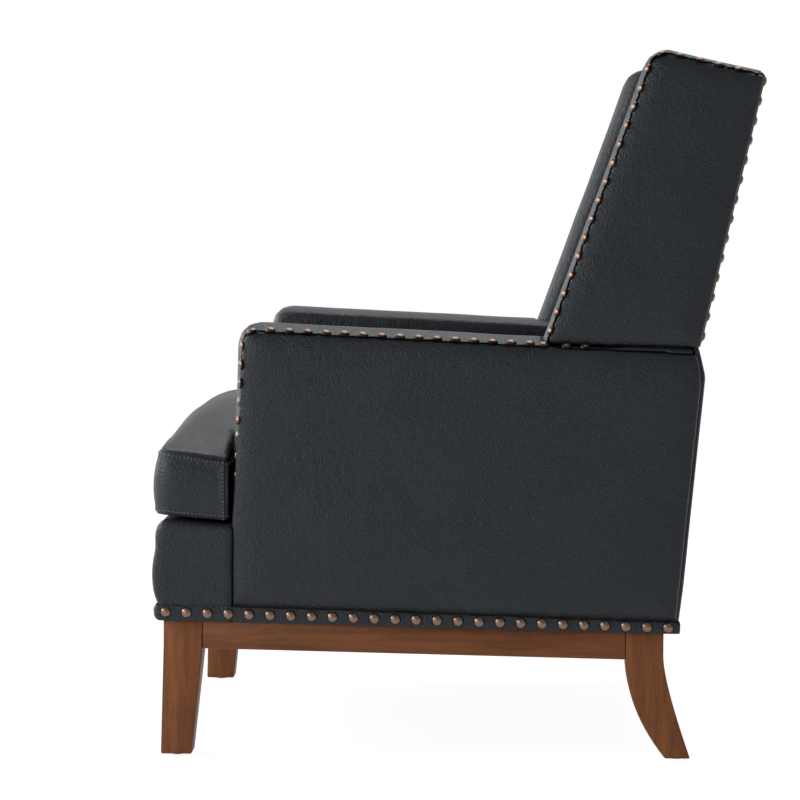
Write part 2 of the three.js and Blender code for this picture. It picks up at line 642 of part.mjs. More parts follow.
/** Corners of an arm seen from the side, between four lines. */
function armCorners(frontY, topZ, bottomZ, rearLineY, radius = ARM_CORNER_RADIUS) {
  const kneeZ = deckZ(ARM_FOOT_Y);
  return [
    meet(frontY, bottomZ), meet(rearLineY, bottomZ), [rearLineY(ROLL_HEIGHT), ROLL_HEIGHT],
    meet(rearLineY, topZ), [...meet(frontY, topZ), radius], [frontY(kneeZ), kneeZ],
  ];
}

function addArms() {
  const rear = lowerRearInnerY;
  const panel = armCorners(armFrontY, armTopZ, bodyUnderZ, rear);
  addPair('arm_panel', acrossX(panel, PANEL_INNER_X, OUTER_X, PANEL_EDGE), LEATHER);

  const over = moved(armTopZ, ARM_CROWN);
  const beyond = moved(rear, OVERRUN);
  const below = moved(armSkirtZ, -OVERRUN);
  const soft = { across: ARM_WIDTH * STRIP_SOFT_SHARE, inward: ARM_CROWN };
  const full = acrossX(
    armCorners(armStripY, over, below, beyond, ARM_CORNER_RADIUS + ARM_CROWN), ARM_INNER_X, OUTER_X, soft,
  );
  const kept = armCorners(moved(armStripY, -OVERRUN), moved(over, OVERRUN), armSkirtZ, rear, 0);
  const pocket = armCorners(moved(armFrontY, -GAP), moved(armTopZ, GAP), below, beyond);
  const [innerFrontY, innerTopZ] = [moved(armFrontY, ARM_TOP_PAD), moved(armTopZ, -ARM_TOP_PAD)];
  const hollow = armCorners(innerFrontY, innerTopZ, below, beyond, 0);
  const [wingClearY, wingClearZ] = [moved(wingFrontY, -GAP), moved(wingBottomZ, -GAP)];
  const behindWing = moved(rearY, OVERRUN);
  const underWing = [
    meet(wingClearY, wingClearZ), meet(behindWing, wingClearZ),
    meet(behindWing, wingTopZ), meet(wingClearY, wingTopZ),
  ];
  const cover = cut(
    within(full, acrossX(kept, ARM_INNER_X - OVERRUN, OUTER_X + OVERRUN)),
    acrossX(pocket, PANEL_INNER_X - GAP, OUTER_X + OVERRUN),
    acrossX(hollow, ARM_INNER_X + ARM_SIDE_PAD, OUTER_X),
    acrossX(underWing, WING_INNER_X - GAP, OUTER_X + OVERRUN),
    acrossX(behindPad(deckUnderZ, moved(over, OVERRUN)), ARM_INNER_X - OVERRUN, UPRIGHT_OUTER_X + GAP),
    acrossX(bandCorners(0, ARM_FOOT_Y, () => 0, moved(deckZ, GAP)), 0, OUTER_X + OVERRUN),
  );
  addPair('arm_cover', cover, LEATHER);
}

// Back and wings

function addWings() {
  const rear = rearInnerY;
  const beyond = moved(rear, OVERRUN);
  const below = moved(wingBottomZ, -OVERRUN);
  const wing = (frontY, topZ, bottomZ, rearLineY, topRadius = WING_TOP_RADIUS) => [
    meet(frontY, bottomZ), meet(rearLineY, bottomZ),
    meet(rearLineY, topZ), [...meet(frontY, topZ), topRadius],
  ];
  const edgeFrontY = moved(wingFrontY, WING_CROWN);
  const edgeTopZ = moved(wingTopZ, -WING_CROWN);
  const panelInnerX = WING_OUTER_X - WING_PANEL_THICKNESS;
  const panel = wing(edgeFrontY, edgeTopZ, wingBottomZ, rear);
  addPair('wing_panel', acrossX(panel, panelInnerX, WING_OUTER_X, PANEL_EDGE), LEATHER);

  const soft = { across: WING_WIDTH * STRIP_SOFT_SHARE, inward: WING_CROWN };
  const full = acrossX(wing(wingFrontY, wingTopZ, below, beyond), WING_INNER_X, WING_OUTER_X, soft);
  const kept = wing(moved(wingFrontY, -OVERRUN), moved(wingTopZ, OVERRUN), wingBottomZ, rear);
  const pocket = wing(moved(edgeFrontY, -GAP), moved(edgeTopZ, GAP), below, beyond);
  const innerFrontY = moved(wingFrontY, WING_PAD - GAP);
  const innerTopZ = moved(wingTopZ, -WING_PAD + GAP);
  const hollow = wing(innerFrontY, innerTopZ, below, beyond, 0);
  const cover = cut(
    within(full, acrossX(kept, WING_INNER_X - OVERRUN, WING_OUTER_X + OVERRUN)),
    acrossX(pocket, panelInnerX - GAP, WING_OUTER_X + OVERRUN),
    acrossX(hollow, WING_INNER_X + WING_SIDE_PAD, WING_OUTER_X),
    acrossX(behindPad(wingBottomZ, innerTopZ), WING_INNER_X - OVERRUN, WING_OUTER_X),
  );
  addPair('wing_cover', cover, LEATHER);
}

function addBack() {
  const halfWidth = WING_INNER_X - GAP;
  const beyond = moved(rearInnerY, OVERRUN);
  const below = moved(deckUnderZ, -OVERRUN);
  const outline = [
    meet(backFaceY, below), meet(beyond, below), meet(beyond, wingTopZ),
    [...meet(backFaceY, wingTopZ), WING_TOP_RADIUS], [BACK_FACE_Y, BACK_KNEE_HEIGHT],
  ];
  const soft = { across: WING_WIDTH, inward: BACK_CROWN };
  const kept = [
    meet(moved(backFaceY, -OVERRUN), deckUnderZ), meet(rearInnerY, deckUnderZ),
    meet(rearInnerY, moved(wingTopZ, OVERRUN)),
    meet(moved(backFaceY, -OVERRUN), moved(wingTopZ, OVERRUN)),
  ];
  const besideArms = bandCorners(0, BODY_DEPTH, () => 0, moved(armTopZ, ARM_CROWN + GAP));
  const cutterX = ARM_INNER_X - GAP;
  const pad = cut(
    within(acrossX(outline, -halfWidth, halfWidth, soft), acrossX(kept, -OUTER_X, OUTER_X)),
    acrossX(behindPad(deckUnderZ, flapUnderZ), -OUTER_X, OUTER_X),
    acrossX(besideArms, cutterX, OUTER_X), acrossX(besideArms, -OUTER_X, -cutterX),
  );
  addPart('inside_back', pad, LEATHER);

  const upperFrontY = moved(rearY, -REAR_PANEL_THICKNESS);
  const upperBottom = SPLIT_HEIGHT + GAP;
  const upper = [
    [upperFrontY(upperBottom) - OVERRUN, upperBottom], [rearY(upperBottom), upperBottom],
    [...meet(rearY, wingTopZ), REAR_TOP_RADIUS], meet(moved(upperFrontY, -OVERRUN), wingTopZ),
  ];
  const beforeUpper = [
    [0, 0], meet(upperFrontY, () => 0),
    meet(upperFrontY, moved(wingTopZ, OVERRUN)), [0, BACK_HEIGHT + OVERRUN],
  ];
  const thick = acrossX(upper, -WING_OUTER_X, WING_OUTER_X, REAR_EDGE);
  addPart('outside_back_panel', cut(thick, acrossX(beforeUpper, -OUTER_X, OUTER_X)), LEATHER);

  const lowerFrontY = moved(lowerRearY, -REAR_PANEL_THICKNESS);
  const footZ = moved(bodyUnderZ, -OVERRUN);
  const topFrontY = rearY(SPLIT_HEIGHT) - REAR_PANEL_THICKNESS;
  const lower = [
    meet(moved(lowerFrontY, -OVERRUN), footZ), meet(lowerRearY, footZ),
    [lowerRearY(ROLL_HEIGHT), ROLL_HEIGHT, SPLIT_HEIGHT - ROLL_HEIGHT],
    [rearY(SPLIT_HEIGHT), SPLIT_HEIGHT], [topFrontY - OVERRUN, SPLIT_HEIGHT],
  ];
  const beforeLower = [
    [0, 0], [lowerFrontY(0), 0], [lowerFrontY(ROLL_HEIGHT), ROLL_HEIGHT], [topFrontY, SPLIT_HEIGHT],
    [topFrontY, BACK_HEIGHT], [0, BACK_HEIGHT],
  ];
  const aboveFoot = bandCorners(0, BODY_DEPTH, bodyUnderZ, () => BACK_HEIGHT);
  const lowerPanel = cut(
    within(acrossX(lower, -OUTER_X, OUTER_X, REAR_EDGE), acrossX(aboveFoot, -BODY_WIDTH, BODY_WIDTH)),
    acrossX(beforeLower, -BODY_WIDTH, BODY_WIDTH),
  );
  addPart('lower_back_panel', lowerPanel, LEATHER);
}

// Front border, trim band, deck and dust cover

const BAND_PROUD = 2.5; // the trim band lies on the panels' lower edge
const BAND_HEIGHT = 21.8;
const BAND_TAPER = slope(0.52); // the band is lower towards the back
const BAND_RADIUS = 5.5;

const bandTopZ = (y) => baseZ(y) + BAND_HEIGHT - BAND_TAPER * y;

function addFrontBorder() {
  const foot = bodyUnderZ(BORDER_FOOT_Y);
  const bulge = new THREE.QuadraticBezierCurve(
    new THREE.Vector2(BORDER_FOOT_Y, bandTopZ(0)),
    new THREE.Vector2(BORDER_FOOT_Y - 2 * BORDER_BULGE, (bandTopZ(0) + BORDER_KNEE) / 2),
    new THREE.Vector2(BORDER_FOOT_Y, BORDER_KNEE),
  ).getPoints(BULGE_STEPS);
  const beyondY = BORDER_REAR_Y + OVERRUN;
  const outline = [
    [BORDER_FOOT_Y, foot - OVERRUN], [beyondY, foot - OVERRUN], [beyondY, deckZ(beyondY)],
    [BORDER_FOOT_Y, deckZ(BORDER_FOOT_Y), BORDER_RADIUS], ...bulge.reverse().map(({ x, y }) => [x, y]),
  ];
  const soft = { across: PANEL_THICKNESS, inward: BORDER_SIDE_ROLL };
  const kept = bandCorners(-OVERRUN, BORDER_REAR_Y, bodyUnderZ, () => BACK_HEIGHT);
  const pocket = bandCorners(BORDER_FOOT_Y + BORDER_PAD, beyondY, () => 0, moved(deckZ, -BORDER_LIP));
  const border = cut(
    within(acrossX(outline, -OUTER_X, OUTER_X, soft), acrossX(kept, -BODY_WIDTH, BODY_WIDTH)),
    acrossX(pocket, -PANEL_INNER_X, PANEL_INNER_X),
  );
  addPart('front_border', border, LEATHER);
}

/** Corners of a rectangle across the chair, each with the same radius. */
function planCorners(halfWidth, y0, y1, radius) {
  const ring = [[-halfWidth, y0], [halfWidth, y0], [halfWidth, y1], [-halfWidth, y1]];
  return ring.map(([x, y]) => [x, y, radius]);
}

function addTrimBand() {
  const frontY = BORDER_FOOT_Y;
  const [rearAtTop] = meet(lowerRearY, bandTopZ);
  const outer = planCorners(OUTER_X + BAND_PROUD, frontY - BAND_PROUD, rearAtTop + BAND_PROUD, BAND_RADIUS);
  const inner = planCorners(OUTER_X + GAP, frontY - GAP, rearAtTop + GAP, BAND_RADIUS - BAND_PROUD);
  const slab = bandCorners(-OVERRUN, BODY_DEPTH, bodyUnderZ, bandTopZ);
  const ring = cut(upZ(outer, 0, ARM_HEIGHT), upZ(inner, -OVERRUN, ARM_HEIGHT + OVERRUN));
  addPart('trim_band', within(ring, acrossX(slab, -BODY_WIDTH, BODY_WIDTH)), LEATHER);
}

function addDeck() {
  const frontY = BORDER_REAR_Y + GAP;
  const [rearLineY] = meet(moved(backFaceY, -GAP), deckUnderZ);
  const halfWidth = ARM_INNER_X - GAP;
  const pad = bandCorners(frontY, rearLineY, deckUnderZ, moved(deckUnderZ, DECK_PAD));
  addPart('deck_pad', acrossX(pad, -halfWidth, halfWidth), FOAM);
  const cover = bandCorners(frontY, rearLineY, moved(deckZ, -DECK_COVER), deckZ);
  addPart('deck_cover', acrossX(cover, -halfWidth, halfWidth), DECKING);
}

function addDustCover() {
  const frontLegX = LEG_FACE_X - FRONT_LEG_WIDTH - GAP;
  const rearLegX = LEG_FACE_X - REAR_LEG_WIDTH - GAP;
  const sideX = APRON_INNER_X - GAP;
  const [y0, y1] = [FRONT_APRON_REAR_Y + GAP, FRONT_LEG_REAR_Y + GAP];
  const [y2, y3] = [REAR_LEG_Y - GAP, REAR_APRON_FRONT_Y - GAP];
  const right = [[frontLegX, y0], [frontLegX, y1], [sideX, y1], [sideX, y2], [rearLegX, y2], [rearLegX, y3]];
  const left = right.map(([x, y]) => [-x, y]).reverse();
  const slab = bandCorners(0, BODY_DEPTH, moved(baseZ, -GAP - DUST_COVER_THICKNESS), moved(baseZ, -GAP));
  const sheet = within(upZ([...right, ...left], 0, BASE_HEIGHT + OVERRUN), acrossX(slab, -OUTER_X, OUTER_X));
  addPart('dust_cover', sheet, DECKING);
}

// Seat cushion: loose, T-shaped, boxed, crowned above and a little below

const CUSHION_FRONT_Y = 3;
const CUSHION_BACK_CLEARANCE = 15.9; // from its rear seams to the inside back, at the deck's height
const EAR_REAR_Y = 99;
const EAR_SIDE_CLEARANCE = 8; // the ears end inside the arms' outer faces
const CUSHION_CLEARANCE = 6; // each side, between the seams and the arms
const CUSHION_BULGE = 3; // the boxing swells past the seams
const BULGE_SHARE = 0.5; // how far up the boxing it swells most
const CUSHION_BELLY = 8; // the underside swells below its seam
const CUSHION_BOXING = 86; // seam to seam
const CUSHION_CROWN = 56; // the top swells above its seam
const CROWN_REACH = 150; // distance from the seam over which the crown rises
const CUSHION_CORNER_RADIUS = 26;
const CUSHION_INNER_RADIUS = 8;
const CUSHION_COVER_THICKNESS = 2.5;
const FILLING_SHARE = 0.992; // the filling is this much smaller than the space in the cover
const CUSHION_SPAN = 95; // longest straight step along its seams
const CUSHION_HUB_Y = 50; // the rings shrink towards this point
const TOP_RING_SHARES = [0.93, 0.82, 0.64, 0.42, 0.18];
const BELLY_RING_SHARES = [0.35, 0.72, 0.93];
const ZIP_END_MARGIN = 99; // from the zip's ends to the cushion's sides
const ZIP_WIDTH = 8;
const ZIP_DROP = 6; // the zip sits below the middle of the rear boxing

const CUSHION_REAR_Y = backFaceY(DECK_HEIGHT) - CUSHION_BACK_CLEARANCE;
const CUSHION_SIDE_X = ARM_INNER_X - CUSHION_CLEARANCE;

/** The outline with its long edges divided. */
function divided(points, span) {
  return points.flatMap((point, i) => {
    const next = points[(i + 1) % points.length];
    const count = Math.max(Math.round(point.distanceTo(next) / span), 1);
    return Array.from({ length: count }, (_, step) => point.clone().lerp(next, step / count));
  });
}

/** Distance from a point to a closed outline. */
function edgeDistance(point, outline) {
  const distances = outline.map((start, i) => {
    const edge = outline[(i + 1) % outline.length].clone().sub(start);
    const share = THREE.MathUtils.clamp(point.clone().sub(start).dot(edge) / edge.lengthSq(), 0, 1);
    return start.clone().addScaledVector(edge, share).distanceTo(point);
  });
  return Math.min(...distances);
}

/** The seam's outline seen from above, and which way is outwards at each of its corners. */
function cushionSeam() {
  const earX = OUTER_X - EAR_SIDE_CLEARANCE;
  const right = [
    [earX, CUSHION_FRONT_Y, CUSHION_CORNER_RADIUS], [earX, EAR_REAR_Y, CUSHION_CORNER_RADIUS],
    [CUSHION_SIDE_X, EAR_REAR_Y, CUSHION_INNER_RADIUS],
    [CUSHION_SIDE_X, CUSHION_REAR_Y, CUSHION_CORNER_RADIUS],
  ];
  const left = right.map(([x, y, radius]) => [-x, y, radius]).reverse();
  const outline = divided(rounded([...right, ...left]), CUSHION_SPAN);
  const outwards = outline.map((_, i) => {
    const before = outline[(i + outline.length - 1) % outline.length];
    const along = outline[(i + 1) % outline.length].clone().sub(before).normalize();
    return new THREE.Vector2(along.y, -along.x);
  });
  return { outline, outwards };
}

/** The cushion's shape, or the shape that fits inside it with every face moved in by shrink. */
function cushionForm(shrink) {
  const { outline, outwards } = cushionSeam();
  const hub = new THREE.Vector2(0, CUSHION_HUB_Y);
  const corner = (i, bulge) => outline[i].clone().addScaledVector(outwards[i], bulge - shrink);
  const rise = (point) => {
    const fromSeam = Math.max(edgeDistance(point, outline) - 2 * shrink, 0);
    const near = 1 - Math.min(fromSeam / CROWN_REACH, 1);
    return Math.sqrt(1 - near * near);
  };
  const lowSeamZ = (y) => deckZ(y) + GAP + CUSHION_BELLY;
  const ring = (share, heightAt) => outline.map((_, i) => {
    const point = hub.clone().lerp(corner(i, 0), share);
    return new THREE.Vector3(point.x, point.y, heightAt(point));
  });
  const boxingRing = (heightShare, bulge) => outline.map((_, i) => {
    const point = corner(i, bulge);
    const height = shrink + heightShare * (CUSHION_BOXING - 2 * shrink);
    return new THREE.Vector3(point.x, point.y, lowSeamZ(corner(i, 0).y) + height);
  });
  const belly = (point) => lowSeamZ(point.y) + shrink - CUSHION_BELLY * rise(point);
  const crown = (point) => lowSeamZ(point.y) + CUSHION_BOXING - shrink + CUSHION_CROWN * rise(point);
  return loft([
    ...BELLY_RING_SHARES.map((share) => ring(share, belly)),
    boxingRing(0, 0), boxingRing(BULGE_SHARE, CUSHION_BULGE), boxingRing(1, 0),
    ...TOP_RING_SHARES.map((share) => ring(share, crown)),
  ], [belly, crown].map((heightAt) => new THREE.Vector3(hub.x, hub.y, heightAt(hub))));
}

function addCushion() {
  const midZ = deckZ(CUSHION_REAR_Y) + GAP + CUSHION_BELLY + CUSHION_BOXING / 2 - ZIP_DROP;
  const rearFaceY = CUSHION_REAR_Y + CUSHION_BULGE;
  const zipEndX = CUSHION_SIDE_X - ZIP_END_MARGIN;
  const slot = bandCorners(
    rearFaceY - OVERRUN / 2, rearFaceY + OVERRUN, () => midZ - ZIP_WIDTH / 2, () => midZ + ZIP_WIDTH / 2,
  );
  const cover = cut(
    cushionForm(0), cushionForm(CUSHION_COVER_THICKNESS), acrossX(slot, -zipEndX, zipEndX),
  );
  addPart('cushion_cover', cover, LEATHER);
  const zipX = zipEndX - GAP;
  const zipHalf = ZIP_WIDTH / 2 - GAP;
  const zip = bandCorners(
    rearFaceY - CUSHION_COVER_THICKNESS, rearFaceY, () => midZ - zipHalf, () => midZ + zipHalf,
  );
  addPart('cushion_zip', acrossX(zip, -zipX, zipX), BRONZE_ZIP);
  const hubZ = deckZ(CUSHION_HUB_Y) + CUSHION_BELLY + CUSHION_BOXING / 2;
  const filling = cushionForm(CUSHION_COVER_THICKNESS)
    .translate(0, -CUSHION_HUB_Y, -hubZ)
    .scale(FILLING_SHARE, FILLING_SHARE, FILLING_SHARE)
    .translate(0, CUSHION_HUB_Y, hubZ);
  const splitX = CUSHION_SIDE_X - CUSHION_BULGE;
  const tall = [[-OVERRUN, 0], [BODY_DEPTH, 0], [BODY_DEPTH, BACK_HEIGHT], [-OVERRUN, BACK_HEIGHT]];
  addPart('cushion_core', within(filling, acrossX(tall, -splitX, splitX)), FOAM);
  addPart('cushion_ear_left', within(filling, acrossX(tall, splitX + GAP, BODY_WIDTH)), FOAM);
  addPart('cushion_ear_right', within(filling, acrossX(tall, -BODY_WIDTH, -splitX - GAP)), FOAM);
}

addBase();
addSeatFrame();
addArmFrame();
addBackFrame();
addArms();
addWings();
addBack();
addFrontBorder();
addTrimBand();
addDeck();
addDustCover();
addCushion();

chair.position.y = -BODY_DEPTH / 2;

export default chair;
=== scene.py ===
"""Wingback armchair in leather: the pieces that are seen, their finishes, and the studio they stand in.

Sizes are in millimetres, measured back from the front of the seat (y) and up from the floor (z).
They become metres, centred on the chair's depth, where a mesh is made.
"""

import logging
import math
from collections.abc import Callable, Iterable, Sequence
from dataclasses import dataclass, field
from enum import Enum

import bmesh
import bpy
import numpy as np
from mathutils import Matrix, Vector, noise
from mathutils.bvhtree import BVHTree
from mathutils.kdtree import KDTree


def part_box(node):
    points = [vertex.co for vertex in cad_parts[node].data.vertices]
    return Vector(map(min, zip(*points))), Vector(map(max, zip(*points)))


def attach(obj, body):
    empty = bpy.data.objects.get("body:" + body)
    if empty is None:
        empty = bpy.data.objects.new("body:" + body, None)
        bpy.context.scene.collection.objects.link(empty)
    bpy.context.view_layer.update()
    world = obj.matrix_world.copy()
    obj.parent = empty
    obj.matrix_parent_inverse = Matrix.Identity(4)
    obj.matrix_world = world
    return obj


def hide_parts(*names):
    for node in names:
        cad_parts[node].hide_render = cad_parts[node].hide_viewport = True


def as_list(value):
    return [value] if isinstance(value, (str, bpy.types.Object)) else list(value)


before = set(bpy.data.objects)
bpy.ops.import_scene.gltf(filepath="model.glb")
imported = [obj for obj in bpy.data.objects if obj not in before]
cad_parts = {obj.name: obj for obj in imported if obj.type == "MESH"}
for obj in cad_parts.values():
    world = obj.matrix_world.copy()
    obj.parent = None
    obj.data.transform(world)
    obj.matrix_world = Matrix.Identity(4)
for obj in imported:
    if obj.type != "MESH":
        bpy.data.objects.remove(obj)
LOG = logging.getLogger("armchair")
MM = 0.001

Profile = Sequence[tuple[float, float]]
Line = Callable[[float], float]


class Body(Enum):
    """The two bodies that pieces ride on."""

    CHAIR = "chair"
    CUSHION = "seat_cushion"


class Side(Enum):
    """The sitter's left or right side of the chair."""

    LEFT = 1
    RIGHT = -1

    @property
    def word(self) -> str:
        """The side's name as it ends a piece's name."""
        return self.name.lower()


class Along(Enum):
    """The axis that the wood grain runs along."""

    ACROSS = (1.0, 12.0, 12.0)
    DEEP = (12.0, 1.0, 12.0)
    UP = (12.0, 12.0, 1.0)


def srgb(code: str) -> tuple[float, float, float, float]:
    """Linear colour of an sRGB hex value.

    Args:
        code: six hex digits.

    Returns:
        Linear red, green and blue, and full alpha.
    """
    parts = [int(code[i:i + 2], 16) / 255 for i in (0, 2, 4)]
    linear = [c / 12.92 if c <= 0.04045 else ((c + 0.055) / 1.055) ** 2.4 for c in parts]
    return (linear[0], linear[1], linear[2], 1.0)


def add_node(
    tree: bpy.types.NodeTree, kind: str, settings: dict[str, object], inputs: dict[str | int, object]
) -> bpy.types.Node:
    """Adds a node with its settings and links.

    Args:
        tree: the tree that it goes into.
        kind: its Blender type.
        settings: values of its own properties.
        inputs: for each socket a constant, or the output that feeds it.

    Returns:
        The new node.
    """
    node = tree.nodes.new(kind)
    for name, value in settings.items():
        setattr(node, name, value)
    for socket, value in inputs.items():
        if isinstance(value, bpy.types.NodeSocket):
            tree.links.new(value, node.inputs[socket])
        else:
            node.inputs[socket].default_value = value
    return node


def ramp(
    tree: bpy.types.NodeTree, factor: bpy.types.NodeSocket, stops: dict[float, str]
) -> bpy.types.NodeSocket:
    """Colours between the stops.

    Args:
        tree: the tree that it goes into.
        factor: what picks the colour.
        stops: hex colours by position.

    Returns:
        The colour output.
    """
    node = add_node(tree, "ShaderNodeValToRGB", {}, {"Fac": factor})
    elements = node.color_ramp.elements
    while len(elements) < len(stops):
        elements.new(0.5)
    for element, (place, code) in zip(elements, sorted(stops.items())):
        element.position = place
        element.color = srgb(code)
    return node.outputs["Color"]


def start_material(name: str) -> tuple[bpy.types.Material, bpy.types.NodeTree, bpy.types.NodeSocket]:
    """An empty material.

    Args:
        name: the material's name.

    Returns:
        The material, its tree and its object coordinates.
    """
    material = bpy.data.materials.new(name)
    material.use_nodes = True
    tree = material.node_tree
    tree.nodes.clear()
    place = add_node(tree, "ShaderNodeTexCoord", {}, {})
    return material, tree, place.outputs["Object"]


def shaded(
    material: bpy.types.Material, height: bpy.types.NodeSocket, strength: float, depth_mm: float,
    sockets: dict[str | int, object], sunk: bool = False,
) -> bpy.types.Material:
    """Gives a material its relief and its shader.

    Args:
        material: the material.
        height: the relief's height, from 0 to 1.
        strength: how strongly the relief shows.
        depth_mm: its depth.
        sockets: the shader's other constants and links.
        sunk: whether the relief goes inwards.

    Returns:
        The material.
    """
    tree = material.node_tree
    bump = add_node(tree, "ShaderNodeBump", {"invert": sunk}, {
        "Height": height, "Strength": strength, "Distance": depth_mm * MM,
    })
    shader = add_node(tree, "ShaderNodeBsdfPrincipled", {}, {**sockets, "Normal": bump.outputs["Normal"]})
    add_node(tree, "ShaderNodeOutputMaterial", {}, {"Surface": shader.outputs["BSDF"]})
    return material


@dataclass(frozen=True)
class CoatedLeather:
    """Pigment-coated, embossed cowhide: a soft sheen, a fine pebble and slightly cloudy colour."""

    name: str = "coated_leather"
    dark: str = "16181a"
    light: str = "1d1f21"
    pebble_mm: float = 2.6  # the real emboss is about 1 mm across, drawn coarser to show
    roughness: float = 0.4

    def build(self) -> bpy.types.Material:
        """Makes the material."""
        material, tree, point = start_material(self.name)
        cloud = add_node(tree, "ShaderNodeTexNoise", {}, {"Vector": point, "Scale": 14.0, "Detail": 6.0})
        colour = ramp(tree, cloud.outputs["Fac"], {0.3: self.dark, 0.75: self.light})
        warp = add_node(tree, "ShaderNodeTexNoise", {}, {"Vector": point, "Scale": 160.0, "Detail": 2.0})
        bent = add_node(tree, "ShaderNodeMix", {"data_type": "VECTOR"}, {
            0: 0.004, 4: point, 5: warp.outputs["Color"],
        })
        pebble = add_node(tree, "ShaderNodeTexVoronoi", {"feature": "SMOOTH_F1"}, {
            "Vector": bent.outputs[1], "Scale": 1 / (self.pebble_mm * MM), "Smoothness": 0.6,
        })
        crease = add_node(tree, "ShaderNodeTexNoise", {}, {
            "Vector": point, "Scale": 55.0, "Detail": 6.0, "Roughness": 0.62,
        })
        relief = add_node(tree, "ShaderNodeMath", {"operation": "MULTIPLY_ADD"}, {
            0: pebble.outputs["Distance"], 1: -0.55, 2: crease.outputs["Fac"],
        })
        shine = add_node(tree, "ShaderNodeMapRange", {}, {
            "Value": cloud.outputs["Fac"], "From Min": 0.3, "From Max": 0.7,
            "To Min": self.roughness - 0.05, "To Max": self.roughness + 0.06,
        })
        return shaded(material, relief.outputs[0], 1.0, 1.2, {
            "Base Color": colour, "Roughness": shine.outputs["Result"],
            "IOR": 1.48, "Specular Tint": srgb("e4ebf4"),
        })


@dataclass(frozen=True)
class Timber:
    """Sawn or lacquered wood: long fibres in bands of lighter and darker growth, with short dark pores."""

    name: str
    along: Along
    dark: str
    mid: str
    light: str
    pore: str
    roughness: float
    specular: float = 0.4

    def build(self) -> bpy.types.Material:
        """Makes the material."""
        material, tree, point = start_material(self.name)
        grain = add_node(tree, "ShaderNodeMapping", {}, {
            "Vector": point, "Scale": self.along.value,
        })
        fibre = add_node(tree, "ShaderNodeTexNoise", {}, {
            "Vector": grain.outputs["Vector"], "Scale": 9.0, "Detail": 8.0, "Roughness": 0.62,
            "Distortion": 0.9,
        })
        band = add_node(tree, "ShaderNodeTexNoise", {}, {
            "Vector": grain.outputs["Vector"], "Scale": 2.3, "Detail": 3.0, "Distortion": 1.4,
        })
        tone = add_node(tree, "ShaderNodeMix", {"data_type": "FLOAT"}, {
            0: 0.45, 2: fibre.outputs["Fac"], 3: band.outputs["Fac"],
        })
        wood = ramp(tree, tone.outputs[0], {0.3: self.dark, 0.5: self.mid, 0.7: self.light})
        fine = add_node(tree, "ShaderNodeMapping", {}, {
            "Vector": grain.outputs["Vector"], "Scale": (7.0, 7.0, 7.0),
        })
        pores = add_node(tree, "ShaderNodeTexNoise", {}, {
            "Vector": fine.outputs["Vector"], "Scale": 11.0, "Detail": 2.0,
        })
        open_pore = add_node(tree, "ShaderNodeMapRange", {}, {
            "Value": pores.outputs["Fac"], "From Min": 0.62, "From Max": 0.72, "To Min": 0.0, "To Max": 0.55,
        })
        colour = add_node(tree, "ShaderNodeMix", {"data_type": "RGBA"}, {
            0: open_pore.outputs["Result"], 6: wood, 7: srgb(self.pore),
        })
        return shaded(material, open_pore.outputs["Result"], 0.25, 0.4, {
            "Base Color": colour.outputs[2], "Roughness": self.roughness, "Specular IOR Level": self.specular,
        }, sunk=True)


@dataclass(frozen=True)
class AgedBrass:
    """Antiqued brass: worn bright on the crown and browned lower down, with painted contact shade darkening
    the rim where it meets the leather; lightly pitted.
    """

    name: str = "aged_brass"
    worn: str = "846e61"
    brown: str = "4c3829"
    # painted contact shade: the colour of each head's rim, where it meets the leather
    shadow: str = "1c1410"

    def build(self) -> bpy.types.Material:
        """Makes the material. The point attribute crown is 1 on top of a dome and 0 at its rim, where painted
        contact shade darkens the head.
        """
        material, tree, point = start_material(self.name)
        crown = add_node(tree, "ShaderNodeAttribute", {"attribute_name": "crown"}, {})
        patch = add_node(tree, "ShaderNodeTexNoise", {}, {
            "Vector": point, "Scale": 120.0, "Detail": 4.0,
        })
        # wear from the patches and the crown, and painted shade at the rim, pick the colour
        wear_and_rim_shade = add_node(tree, "ShaderNodeMath", {"operation": "MULTIPLY_ADD"}, {
            0: patch.outputs["Fac"], 1: 0.7, 2: crown.outputs["Fac"],
        })
        colour = ramp(tree, wear_and_rim_shade.outputs[0], {0.4: self.shadow, 0.65: self.brown, 1.0: self.worn})
        pits = add_node(tree, "ShaderNodeTexNoise", {}, {
            "Vector": point, "Scale": 900.0, "Detail": 2.0,
        })
        return shaded(material, pits.outputs["Fac"], 0.25, 0.4, {
            "Base Color": colour, "Metallic": 1.0, "Roughness": 0.3,
        })


@dataclass(frozen=True)
class WovenCloth:
    """Plain-woven cloth: crossing threads that show as a fine checked relief."""

    name: str
    colour: str
    shade: str
    thread_mm: float
    roughness: float = 0.9

    def build(self) -> bpy.types.Material:
        """Makes the material."""
        material, tree, point = start_material(self.name)
        waves = [
            add_node(tree, "ShaderNodeTexWave", {"bands_direction": axis}, {
                "Vector": point, "Scale": 0.314 / (self.thread_mm * MM), "Distortion": 0.4,
            })
            for axis in ("X", "Y", "Z")
        ]
        first = add_node(tree, "ShaderNodeMath", {"operation": "MAXIMUM"}, {
            0: waves[0].outputs["Fac"], 1: waves[1].outputs["Fac"],
        })
        weave = add_node(tree, "ShaderNodeMath", {"operation": "MAXIMUM"}, {
            0: first.outputs[0], 1: waves[2].outputs["Fac"],
        })
        blotch = add_node(tree, "ShaderNodeTexNoise", {}, {
            "Vector": point, "Scale": 40.0, "Detail": 4.0,
        })
        tone = add_node(tree, "ShaderNodeMix", {"data_type": "FLOAT"}, {
            0: 0.5, 2: weave.outputs[0], 3: blotch.outputs["Fac"],
        })
        colour = ramp(tree, tone.outputs[0], {0.25: self.shade, 0.85: self.colour})
        return shaded(material, weave.outputs[0], 0.5, 0.6, {
            "Base Color": colour, "Roughness": self.roughness, "Sheen Weight": 0.25,
        })


